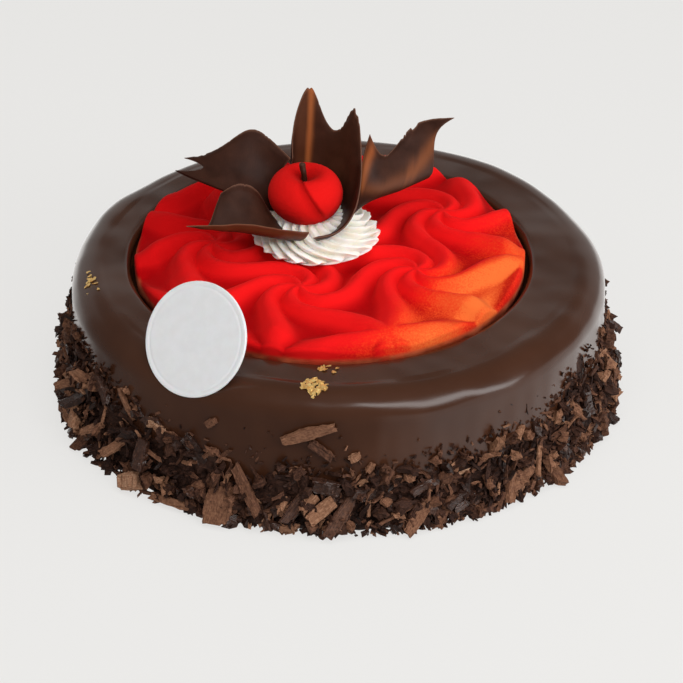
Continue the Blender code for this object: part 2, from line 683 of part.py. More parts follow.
def make_stem(parts, material, cherry, cutters):
    """The stem: a slim chocolate rod that leans slightly and stands in a hole in the dimple."""
    shape = bmesh.new()
    bmesh.ops.create_cone(
        shape, cap_ends=True, segments=12, radius1=STEM_RADIUS * 0.92, radius2=STEM_RADIUS, depth=STEM_LENGTH
    )
    bmesh.ops.translate(shape, verts=shape.verts, vec=(0, 0, STEM_LENGTH / 2))
    stem = add_object("cherry_stem", mesh_of("cherry_stem", shape), parts, material)
    foot = Vector(CHERRY_CENTRE)
    foot.z += CHERRY_HALF_HEIGHT - CHERRY_DIMPLE - STEM_SUNK
    stem.matrix_world = Matrix.Translation(foot) @ Matrix.Rotation(STEM_LEAN, 4, "Y")
    cut(cherry, swollen(stem, "stem_hole", SLOT_CLEARANCE, cutters))
    return stem


def main():
    """Builds the cake from its underside to its top."""
    clear_scene()
    parts = new_collection("black_forest_cake")
    cutters = new_collection("cutters")
    glaze = finish("chocolate_glaze", (0.050, 0.026, 0.018), 0.25)
    red_velvet = finish("red_velvet", (0.75, 0.012, 0.014), 0.85)
    cream_white = finish("cream", (0.88, 0.84, 0.76), 0.5)
    chocolate = finish("petal_chocolate", (0.045, 0.022, 0.015), 0.4)
    white = finish("plaque_white", (0.86, 0.85, 0.83), 0.45)

    make_cake(parts, cutters, glaze)
    make_insert(parts, red_velvet)
    petals = make_petals(parts, chocolate)
    cherry = make_cherry(parts, cutters, red_velvet)
    make_stem(parts, chocolate, cherry, cutters)
    make_cream(parts, cutters, cream_white, petals + [cherry])
    disc_on_shoulder("plaque", PLAQUE_RADIUS, 0.0, PLAQUE_THICKNESS, parts, white)
    bpy.context.view_layer.update()
    for obj in parts.objects:
        shade(obj)


main()
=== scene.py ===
"""Looks of a black forest cake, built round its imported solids.

The glaze, the pile of shavings round the foot, the gold leaf, the velvet insert with its seven
whorls, the piped cream, the chocolate petals, the cherry with its stem and the bare plaque are
each a class that works out its own surfaces as whole arrays and dresses them.

Lengths are millimetres until Skin.piece makes a mesh of them. +Z is up and -Y is the front.
"""

import logging
import math
from dataclasses import dataclass, field
from enum import Enum
from itertools import product

import bpy
import numpy as np
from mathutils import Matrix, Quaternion, Vector


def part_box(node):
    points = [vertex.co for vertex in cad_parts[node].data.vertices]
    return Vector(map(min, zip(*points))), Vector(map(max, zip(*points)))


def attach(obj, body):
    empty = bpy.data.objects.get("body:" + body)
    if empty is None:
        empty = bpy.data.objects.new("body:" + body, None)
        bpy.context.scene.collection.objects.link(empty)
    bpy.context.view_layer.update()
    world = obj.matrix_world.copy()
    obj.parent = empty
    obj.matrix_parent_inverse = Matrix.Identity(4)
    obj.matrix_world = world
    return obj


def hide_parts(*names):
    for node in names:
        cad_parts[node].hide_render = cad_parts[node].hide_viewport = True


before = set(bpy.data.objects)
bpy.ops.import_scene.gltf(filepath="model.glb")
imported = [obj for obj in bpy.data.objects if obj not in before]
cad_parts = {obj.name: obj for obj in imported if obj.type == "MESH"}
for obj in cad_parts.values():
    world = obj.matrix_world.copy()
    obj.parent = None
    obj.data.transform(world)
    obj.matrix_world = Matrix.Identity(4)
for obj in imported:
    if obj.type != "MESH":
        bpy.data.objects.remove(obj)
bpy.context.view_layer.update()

MM = 0.001
LOG = logging.getLogger("cake")
Array = np.ndarray
Colour = tuple[float, float, float]


class Slot(Enum):
    """Names of the record's material slots, one for each finish."""

    GLAZE = "chocolate_glaze"
    VELVET = "red_velvet"
    CREAM = "cream"
    PETAL = "petal_chocolate"
    CHERRY = "cherry_red"
    PLAQUE = "plaque_white"


class Shading(Enum):
    """How light runs over a piece's faces."""

    SMOOTH = "smooth"
    FLAT = "flat"


# Numbers, noise and splines


def smooth_step(value: Array | float) -> Array:
    """Rises smoothly from 0 to 1 as the value goes from 0 to 1: v * v * (3 - 2 v)."""
    value = np.clip(value, 0.0, 1.0)
    return value * value * (3 - 2 * value)


def near(value: Array, middle: float, width: float) -> Array:
    """A bell of height 1 round the middle: exp(-((value - middle) / width) squared)."""
    return np.exp(-(((value - middle) / width) ** 2))


def ripple(points: Array, length: float, seed: int, count: int = 10) -> Array:
    """Smooth ripples of about -1 to 1, the sum of plane waves in drawn directions.

    ripple(p) = sum of sin(2 pi d . p / length + phase) / sqrt(count), with lengths of 0.7 to 1.4.

    Args:
        points: places, with x, y, z in the last axis.
        length: mean distance between crests.
        seed: start of the random draws.
        count: number of waves.

    Returns:
        One value for each place.
    """
    draw = np.random.default_rng(seed)
    ways = draw.normal(size=(count, 3))
    ways /= np.linalg.norm(ways, axis=1, keepdims=True)
    ways *= 2 * np.pi / (length * draw.uniform(0.7, 1.4, (count, 1)))
    phases = draw.uniform(0, 2 * np.pi, count)
    return np.sin(points @ ways.T + phases).sum(axis=-1) / math.sqrt(count)


def grain(points: Array, size: float, seed: int) -> Array:
    """Lattice noise from -1 to 1: drawn values at the corners of cubes, blended in between.

    Args:
        points: places, with x, y, z in the last axis.
        size: side of the cubes.
        seed: start of the draws.

    Returns:
        One value for each place.
    """
    scaled = points / size
    cell = np.floor(scaled).astype(np.int64)
    blend = smooth_step(scaled - cell)
    total = np.zeros(points.shape[:-1])
    for corner in product((0, 1), repeat=3):
        key = (cell + corner) @ np.array((374761393, 668265263, 2147483647)) + seed * 1274126177
        key = (key ^ (key >> 13)) * 1274126177
        value = ((key ^ (key >> 16)) & 0xFFFFFF) / 0xFFFFFF
        total += value * np.prod(np.where(corner, blend, 1 - blend), axis=-1)
    return 2 * total - 1


def spline_surface(cage: Array, across: Array, down: Array) -> Array:
    """Points of a cubic B-spline surface over a cage, whose edges reach the cage's own edges.

    S(u, v) = sum of B(u - i) B(v - j) P(i, j), where B is the cubic bump (4 - 6 t2 + 3 t3) / 6 up
    to 1 and (2 - t)3 / 6 up to 2, and a row added past each edge mirrors the next row inwards.

    Args:
        cage: control points, shape (columns, rows, values).
        across: place along the columns, from 0 to columns - 1.
        down: place along the rows, of the same shape.

    Returns:
        The surface's values at those places, with the cage's values in the last axis.
    """

    def padded(points: Array) -> Array:
        """Adds the mirrored points before the first and after the last of an array."""
        return np.concatenate([2 * points[:1] - points[1:2], points, 2 * points[-1:] - points[-2:-1]])

    def weights(place: Array, count: int) -> Array:
        """Weight of every control point at each place.

        Args:
            place: places along one direction of the cage.
            count: number of control points, with the mirrored ones.

        Returns:
            The weights, with one more axis than the places.
        """
        away = np.abs(place[..., None] - (np.arange(count) - 1))
        inner = (4 - 6 * away**2 + 3 * away**3) / 6
        return np.where(away < 1, inner, np.clip(2 - away, 0, None) ** 3 / 6)

    whole = padded(np.swapaxes(padded(cage), 0, 1))
    whole = np.swapaxes(whole, 0, 1)
    return np.einsum(
        "...i,...j,ijk->...k", weights(across, whole.shape[0]), weights(down, whole.shape[1]), whole
    )


def spline_line(points: tuple, samples: int) -> Array:
    """Points along a cubic B-spline through the ends of a short list of points.

    Args:
        points: control points.
        samples: how many points to give.

    Returns:
        The points, spread evenly over the control points.
    """
    cage = np.array(points, float)[:, None]
    place = np.linspace(0, len(points) - 1, samples)
    return spline_surface(np.repeat(cage, 2, axis=1), place, np.zeros(samples))


def arc(centre: tuple, radius: float, start: float, end: float, steps: int) -> Array:
    """Points (r, z) of an arc, with angles in degrees from the outward direction."""
    angles = np.radians(np.linspace(start, end, steps))
    return np.stack([centre[0] + radius * np.cos(angles), centre[1] + radius * np.sin(angles)], axis=1)


def stretch(start: tuple, end: tuple, steps: int) -> Array:
    """Points (r, z) of a straight stretch, without its last one."""
    return np.linspace(start, end, steps, endpoint=False)


def turn_about(axis: int, angles: Array) -> Array:
    """Rotation matrices about one axis.

    Args:
        axis: 0, 1 or 2 for x, y or z.
        angles: one angle for each matrix.

    Returns:
        The matrices, shape (angles, 3, 3).
    """
    first, second = (axis + 1) % 3, (axis + 2) % 3
    made = np.zeros((len(angles), 3, 3))
    made[:, axis, axis] = 1
    made[:, first, first] = made[:, second, second] = np.cos(angles)
    made[:, second, first] = np.sin(angles)
    made[:, first, second] = -np.sin(angles)
    return made


# Surfaces


def grid_quads(rows: int, columns: int, closed_rows: bool = False, closed: bool = False) -> Array:
    """Corners of the quads of a grid whose points are numbered row by row.

    Args:
        rows: number of rows of points.
        columns: number of points in a row.
        closed_rows: whether the last row joins the first.
        closed: whether each row's end joins its start.

    Returns:
        Four point numbers for each quad.
    """
    row = np.arange(rows if closed_rows else rows - 1)[:, None]
    column = np.arange(columns if closed else columns - 1)[None, :]
    below, beside = (row + 1) % rows * columns, (column + 1) % columns
    row = row * columns
    corners = [row + column, row + beside, below + beside, below + column]
    return np.stack(np.broadcast_arrays(*corners), axis=-1).reshape(-1, 4)


@dataclass
class Skin:
    """A closed surface before it is a mesh.

    values holds x, y, z in millimetres and then one column for each name in marks. The marks u
    and v become a UV map, and the others attributes of the same names.
    """

    values: Array
    quads: Array
    triangles: Array = field(default_factory=lambda: np.zeros((0, 3), int))
    marks: tuple[str, ...] = ()

    @classmethod
    def stacks(cls, rings: Array, marks: tuple[str, ...] = ()) -> "Skin":
        """Closed surfaces from stacks of rings, each end closed by a fan round its middle.

        Args:
            rings: values of shape (pieces, rows, columns, 3 + marks).
            marks: names of the values after x, y, z.

        Returns:
            One skin with all the pieces.
        """
        pieces, rows, columns, width = rings.shape
        ends = rings[:, [0, -1]].mean(axis=2)
        values = np.concatenate([rings.reshape(pieces, -1, width), ends], axis=1)
        step = rows * columns + 2
        start = np.arange(columns)
        after = (start + 1) % columns
        first = np.stack([after, start, np.full(columns, step - 2)], axis=1)
        last = np.stack([start, after, np.full(columns, step - columns * (rows - 1) - 1)], axis=1)
        last = last + (rows - 1) * columns
        fans = np.concatenate([first, last])
        offsets = (np.arange(pieces) * step)[:, None, None]
        quads = grid_quads(rows, columns, closed=True)[None] + offsets
        triangles = fans[None] + offsets
        return cls(values.reshape(-1, width), quads.reshape(-1, 4), triangles.reshape(-1, 3), marks)

    @classmethod
    def hoop(cls, rings: Array, marks: tuple[str, ...] = ()) -> "Skin":
        """A closed hoop from a grid whose rows and columns both join up."""
        rows, columns, width = rings.shape
        return cls(rings.reshape(-1, width), grid_quads(rows, columns, True, True), marks=marks)

    @classmethod
    def sheet(cls, front: Array, back: Array, marks: tuple[str, ...] = ()) -> "Skin":
        """A thin closed sheet from two grids, joined along all four edges.

        Args:
            front: values of shape (rows, columns, 3 + marks).
            back: the same places on the other face.
            marks: names of the values after x, y, z.

        Returns:
            The sheet's skin.
        """
        rows, columns, width = front.shape
        count = rows * columns
        face = grid_quads(rows, columns)
        number = np.arange(count).reshape(rows, columns)
        rim = np.concatenate([number[0, :-1], number[:-1, -1], number[-1, :0:-1], number[:0:-1, 0]])
        after = np.roll(rim, -1)
        edge = np.stack([rim, rim + count, after + count, after], axis=1)
        quads = np.concatenate([face, face[:, ::-1] + count, edge])
        values = np.concatenate([front.reshape(-1, width), back.reshape(-1, width)])
        return cls(values, quads, marks=marks)

    def volume(self) -> float:
        """Signed volume: a sixth of the sum of a . (b x c) over all triangles.

        Returns:
            Cubic millimetres, below 0 if the skin is inside out.
        """
        halves = [self.quads[:, [0, 1, 2]], self.quads[:, [0, 2, 3]], self.triangles]
        a, b, c = self.values[np.concatenate(halves), :3].transpose(1, 0, 2)
        return float(np.einsum("ij,ij->", a, np.cross(b, c)) / 6)

    def piece(
        self, name: str, material: bpy.types.Material, shading: Shading, angle: float = 180.0
    ) -> bpy.types.Object:
        """Makes the mesh and its object, with its faces pointing outwards.

        Args:
            name: the piece's name.
            material: its finish.
            shading: smooth or flat.
            angle: with smooth shading, edges sharper than this (in degrees) stay sharp.

        Returns:
            The new object, at the origin.
        """
        turned = slice(None, None, -1 if self.volume() < 0 else 1)
        quads, triangles = self.quads[:, turned], self.triangles[:, turned]
        mesh = bpy.data.meshes.new(name)
        mesh.from_pydata((self.values[:, :3] * MM).tolist(), [], quads.tolist() + triangles.tolist())
        corners = np.concatenate([quads.ravel(), triangles.ravel()])
        plain = [mark for mark in self.marks if mark not in ("u", "v")]
        for mark in plain:
            kept = mesh.attributes.new(mark, "FLOAT", "POINT")
            column = self.values[:, 3 + self.marks.index(mark)]
            kept.data.foreach_set("value", column.astype(np.float32))
        if "u" in self.marks:
            where = 3 + self.marks.index("u")
            layer = mesh.uv_layers.new(name="surface")
            spread = self.values[corners, where : where + 2].astype(np.float32)
            layer.uv.foreach_set("vector", spread.ravel())
        if shading is Shading.FLAT:
            mesh.shade_flat()
        else:
            mesh.shade_smooth()
            if angle < 180:
                mesh.set_sharp_from_angle(angle=math.radians(angle))
        mesh.materials.append(material)
        obj = bpy.data.objects.new(name, mesh)
        bpy.context.scene.collection.objects.link(obj)
        return obj


def dress(obj: bpy.types.Object, slot: Slot, *nodes: str) -> None:
    """Lets a piece ride on the cake in place of CAD nodes and reports it.

    Args:
        obj: the finished piece.
        slot: the record's slot that it takes its finish from; not used.
        nodes: the CAD nodes that it stands for.
    """
    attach(obj, "root")
    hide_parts(*nodes)
    count = sum(len(face.vertices) - 2 for face in obj.data.polygons)
    LOG.info("%s: %d triangles, stands for %s", obj.name, count, ", ".join(nodes))


# Finishes


class Recipe:
    """Adds shader nodes to one new material and joins them."""

    def __init__(self, name: str) -> None:
        """Starts a material with its usual shader.

        Args:
            name: the material's name.
        """
        self.material = bpy.data.materials.new(name)
        self.material.use_nodes = True
        self.tree = self.material.node_tree
        self.shader = self.tree.nodes["Principled BSDF"]

    def add(self, kind: str, inputs: dict | None = None, **settings: object) -> bpy.types.Node:
        """Adds a node.

        Args:
            kind: the node's Blender type, without its ShaderNode start.
            inputs: value or socket for each named or numbered input.
            settings: the node's own properties.

        Returns:
            The new node.
        """
        node = self.tree.nodes.new("ShaderNode" + kind)
        for key, value in settings.items():
            setattr(node, key, value)
        for key, value in (inputs or {}).items():
            self.put(node.inputs[key], value)
        return node

    def put(self, socket: bpy.types.NodeSocket, value: object) -> None:
        """Links a socket to an input, or sets the input's own value.

        Args:
            socket: the input.
            value: another node's output, or a plain value.
        """
        if isinstance(value, bpy.types.NodeSocket):
            self.tree.links.new(value, socket)
        else:
            socket.default_value = value

    def surface(self, **inputs: object) -> None:
        """Sets the shader's inputs, named with underscores for spaces."""
        for key, value in inputs.items():
            self.put(self.shader.inputs[key.replace("_", " ")], value)

    def place(self, scale: Colour = (1.0, 1.0, 1.0), uv: bool = False) -> bpy.types.NodeSocket:
        """Object coordinates, or the piece's UV map, stretched by a scale.

        Args:
            scale: factor along each axis.
            uv: whether to read the UV map.

        Returns:
            The socket with the places.
        """
        source = self.add("UVMap", uv_map="surface") if uv else self.add("TexCoord")
        start = source.outputs["UV" if uv else "Object"]
        return self.add("Mapping", {"Vector": start, "Scale": scale}).outputs["Vector"]

    def noise(
        self, vector: bpy.types.NodeSocket, scale: float, detail: float = 2.0
    ) -> bpy.types.NodeSocket:
        """Cloudy noise from 0 to 1."""
        inputs = {"Vector": vector, "Scale": scale, "Detail": detail}
        return self.add("TexNoise", inputs).outputs["Fac"]

    def mark(self, name: str) -> bpy.types.NodeSocket:
        """A piece's own attribute."""
        return self.add("Attribute", attribute_name=name).outputs["Fac"]

    def maths(self, operation: str, first: object, second: object = 0.0) -> bpy.types.NodeSocket:
        """One sum of two values, clamped to 0 and 1."""
        return self.add("Math", {0: first, 1: second}, operation=operation, use_clamp=True).outputs[0]

    def ramp(self, factor: bpy.types.NodeSocket, stops: tuple) -> bpy.types.NodeSocket:
        """Colours along a factor.

        Args:
            factor: a value from 0 to 1.
            stops: a (place, colour) for each stop.

        Returns:
            The socket with the colour.
        """
        node = self.add("ValToRGB", {"Fac": factor})
        ramp = node.color_ramp
        while len(ramp.elements) < len(stops):
            ramp.elements.new(0.5)
        for element, (position, colour) in zip(ramp.elements, stops):
            element.position = position
            element.color = (*colour, 1.0)
        return node.outputs["Color"]

    def span(self, factor: bpy.types.NodeSocket, low: float, high: float) -> bpy.types.NodeSocket:
        """Maps a factor from 0 to 1 onto low to high."""
        return self.add("MapRange", {"Value": factor, "To Min": low, "To Max": high}).outputs[0]

    def mix(self, factor: object, first: object, second: object) -> bpy.types.NodeSocket:
        """Blends two colours.

        Args:
            factor: how much of the second shows.
            first: a colour or a socket.
            second: a colour or a socket.

        Returns:
            The socket with the blend.
        """
        node = self.add("Mix", data_type="RGBA")
        self.put(node.inputs[0], factor)
        for index, value in ((6, first), (7, second)):
            self.put(node.inputs[index], (*value, 1.0) if isinstance(value, tuple) else value)
        return node.outputs[2]

    def relief(
        self, height: bpy.types.NodeSocket, depth: float, after: object = None
    ) -> bpy.types.NodeSocket:
        """Fine relief as a normal.

        Args:
            height: the relief, from 0 to 1.
            depth: its full height in millimetres.
            after: the normal of a coarser relief under it.

        Returns:
            The socket with the normal.
        """
        inputs = {"Height": height, "Distance": depth * MM, "Strength": 1.0}
        if after is not None:
            inputs["Normal"] = after
        return self.add("Bump", inputs).outputs["Normal"]


@dataclass(frozen=True)
class GlazeFinish:
    """Poured dark chocolate glaze: glossy, a little clouded and softly rippled."""

    dark: Colour = (0.040, 0.0132, 0.0056)
    light: Colour = (0.060, 0.0218, 0.0104)
    gloss: tuple[float, float] = (0.16, 0.28)

    def material(self) -> bpy.types.Material:
        """Builds the finish.

        Returns:
            The new material.
        """
        recipe = Recipe("chocolate_glaze")
        place = recipe.place()
        cloud = recipe.noise(place, 28.0, 3.0)
        speck = recipe.noise(place, 900.0, 2.0)
        colour = recipe.ramp(cloud, ((0.3, self.dark), (0.72, self.light)))
        waves = recipe.relief(recipe.noise(place, 60.0, 1.0), 0.25)
        recipe.surface(
            Base_Color=colour,
            Roughness=recipe.span(cloud, *self.gloss),
            IOR=1.45,
            Normal=recipe.relief(speck, 0.006, waves),
        )
        return recipe.material


@dataclass(frozen=True)
class ShavingFinish:
    """Broken chocolate: matt brown with lengthwise scrape marks, some pieces dark and glossy."""

    shades: tuple = (
        (0.0, (0.011, 0.0046, 0.0034)),
        (0.28, (0.046, 0.0182, 0.0108)),
        (0.52, (0.136, 0.0580, 0.0320)),
        (0.74, (0.262, 0.1260, 0.0690)),
        (1.0, (0.460, 0.2800, 0.1800)),
    )

    def material(self) -> bpy.types.Material:
        """Builds the finish. It reads the marks shade and gloss and the UV map, in millimetres.

        Returns:
            The new material.
        """
        recipe = Recipe("chocolate_shavings")
        streaks = recipe.noise(recipe.place((0.35, 3.2, 1.0), uv=True), 1.0, 3.0)
        crumbs = recipe.noise(recipe.place(), 1100.0, 4.0)
        tone = recipe.maths("ADD", recipe.mark("shade"), recipe.span(streaks, -0.30, 0.30))
        tone = recipe.maths("ADD", tone, recipe.span(crumbs, -0.24, 0.24))
        scraped = recipe.relief(streaks, 0.24)
        recipe.surface(
            Base_Color=recipe.ramp(tone, self.shades),
            Roughness=recipe.span(recipe.mark("gloss"), 0.75, 0.22),
            Specular_IOR_Level=recipe.span(recipe.mark("gloss"), 0.2, 0.6),
            Normal=recipe.relief(crumbs, 0.14, scraped),
        )
        return recipe.material


@dataclass(frozen=True)
class VelvetFinish:
    """Matt red velvet spray, speckled over into orange where the piece is marked warm, partly the spray's
    own orange and partly painted light, and darkened by painted shade where it is marked hollow.
    """

    name: str = "red_velvet"
    red: Colour = (0.78, 0.0078, 0.0085)
    # deep is painted shade: the colour of the hollows, where the spray is also thinner, and of the side away
    # from the lights.
    deep: Colour = (0.38, 0.0006, 0.0020)
    # orange and amber are partly the spray's own orange and partly painted light on the slopes that face the
    # lights.
    orange: Colour = (0.80, 0.042, 0.009)
    amber: Colour = (0.80, 0.145, 0.030)
    side_dark: Colour = (0.20, 0.030, 0.012)
    side_light: Colour = (0.52, 0.110, 0.045)

    def material(self) -> bpy.types.Material:
        """Builds the finish. It reads the marks warm, hollow and side.

        Returns:
            The new material.
        """
        recipe = Recipe(self.name)
        place = recipe.place()
        grains = recipe.noise(place, 1500.0, 3.0)
        patches = recipe.noise(place, 120.0, 3.0)
        # Painted shade: marked places are darkened towards deep.
        red = recipe.mix(recipe.mark("hollow"), self.red, self.deep)
        # Painted light, partly the spray's orange: marked places turn orange.
        warmth = recipe.maths("ADD", recipe.mark("warm"), recipe.span(grains, -0.40, 0.40))
        tint = recipe.ramp(
            warmth, ((0.15, (0, 0, 0)), (0.60, (0.72, 0.72, 0.72)), (1.0, (1, 1, 1)))
        )
        warm = recipe.ramp(warmth, ((0.35, self.orange), (1.0, self.amber)))
        top = recipe.mix(tint, red, warm)
        side = recipe.ramp(patches, ((0.3, self.side_dark), (0.7, self.side_light)))
        recipe.surface(
            Base_Color=recipe.mix(recipe.mark("side"), top, side),
            Roughness=0.9,
            Sheen_Weight=0.04,
            Sheen_Roughness=0.5,
            Sheen_Tint=(1.0, 0.30, 0.22, 1.0),
            Specular_IOR_Level=0.06,
            Normal=recipe.relief(grains, 0.07),
        )
        return recipe.material


@dataclass(frozen=True)
class CreamFinish:
    """Whipped cream: white, soft and slightly let through by light."""

    white: Colour = (0.93, 0.905, 0.850)
    shaded: Colour = (0.88, 0.820, 0.710)

    def material(self) -> bpy.types.Material:
        """Builds the finish.

        Returns:
            The new material.
        """
        recipe = Recipe("whipped_cream")
        place = recipe.place()
        soft = recipe.noise(place, 150.0, 3.0)
        airy = recipe.noise(place, 1500.0, 3.0)
        recipe.surface(
            Base_Color=recipe.ramp(soft, ((0.3, self.shaded), (0.6, self.white))),
            Roughness=0.42,
            Subsurface_Weight=0.35,
            Subsurface_Radius=(1.0, 0.7, 0.45),
            Subsurface_Scale=0.002,
            Normal=recipe.relief(airy, 0.10),
        )
        return recipe.material


@dataclass(frozen=True)
class PetalFinish:
    """Thin dark chocolate sheet: satin, streaked by the knife, lighter on its broken edges, and painted with
    a warm glow of light where marked.
    """

    name: str = "petal_chocolate"
    dark: Colour = (0.027, 0.0095, 0.0056)
    worn: Colour = (0.046, 0.0165, 0.0096)
    edge: Colour = (0.150, 0.0700, 0.0440)
    # Colour of the painted glow of warm light on the petals' strips.
    warm: Colour = (0.360, 0.1050, 0.0300)

    def material(self) -> bpy.types.Material:
        """Builds the finish. It reads the marks edge and warm and the UV map.

        Returns:
            The new material.
        """
        recipe = Recipe(self.name)
        strokes = recipe.noise(recipe.place((1.6, 0.12, 1.0), uv=True), 1.0, 3.0)
        cloud = recipe.noise(recipe.place(), 170.0, 3.0)
        base = recipe.ramp(cloud, ((0.3, self.dark), (0.7, self.worn)))
        base = recipe.mix(recipe.mark("edge"), base, self.edge)
        # Painted light: the marked strips glow warm.
        recipe.surface(
            Base_Color=recipe.mix(recipe.mark("warm"), base, self.warm),
            Roughness=recipe.span(cloud, 0.42, 0.48),
            Specular_IOR_Level=0.13,
            Normal=recipe.relief(strokes, 0.05),
        )
        return recipe.material


@dataclass(frozen=True)
class PlaqueFinish:
    """Bare white chocolate, faintly mottled."""

    white: Colour = (0.76, 0.765, 0.775)
    shaded: Colour = (0.73, 0.733, 0.74)

    def material(self) -> bpy.types.Material:
        """Builds the finish.

        Returns:
            The new material.
        """
        recipe = Recipe("plaque_white")
        place = recipe.place()
        mottle = recipe.noise(place, 260.0, 4.0)
        recipe.surface(
            Base_Color=recipe.ramp(mottle, ((0.35, self.shaded), (0.65, self.white))),
            Roughness=recipe.span(mottle, 0.34, 0.48),
            Subsurface_Weight=0.1,
            Subsurface_Scale=0.001,
            Normal=recipe.relief(recipe.noise(place, 1300.0, 2.0), 0.012),
        )
        return recipe.material


@dataclass(frozen=True)
class GoldFinish:
    """Crinkled gold leaf."""

    bright: Colour = (1.0, 0.72, 0.28)
    deep: Colour = (0.74, 0.36, 0.08)

    def material(self) -> bpy.types.Material:
        """Builds the finish.

        Returns:
            The new material.
        """
        recipe = Recipe("gold_leaf")
        place = recipe.place()
        crinkle = recipe.noise(place, 1300.0, 4.0)
        recipe.surface(
            Base_Color=recipe.ramp(crinkle, ((0.35, self.deep), (0.6, self.bright))),
            Metallic=0.6,
            Roughness=0.36,
            Normal=recipe.relief(crinkle, 0.30),
        )
        return recipe.material


@dataclass(frozen=True)
class FloorFinish:
    """Pale even floor that glows a little, so that shadows stay faint."""

    pale: Colour = (0.14, 0.139, 0.136)
    glow: Colour = (1.0, 0.990, 0.971)
    strength: float = 0.69

    def material(self) -> bpy.types.Material:
        """Builds the finish.

        Returns:
            The new material.
        """
        recipe = Recipe("floor")
        recipe.surface(
            Base_Color=(*self.pale, 1.0),
            Roughness=0.9,
            Specular_IOR_Level=0.0,
            Emission_Color=(*self.glow, 1.0),
            Emission_Strength=self.strength,
        )
        return recipe.material


# Pieces of the cake


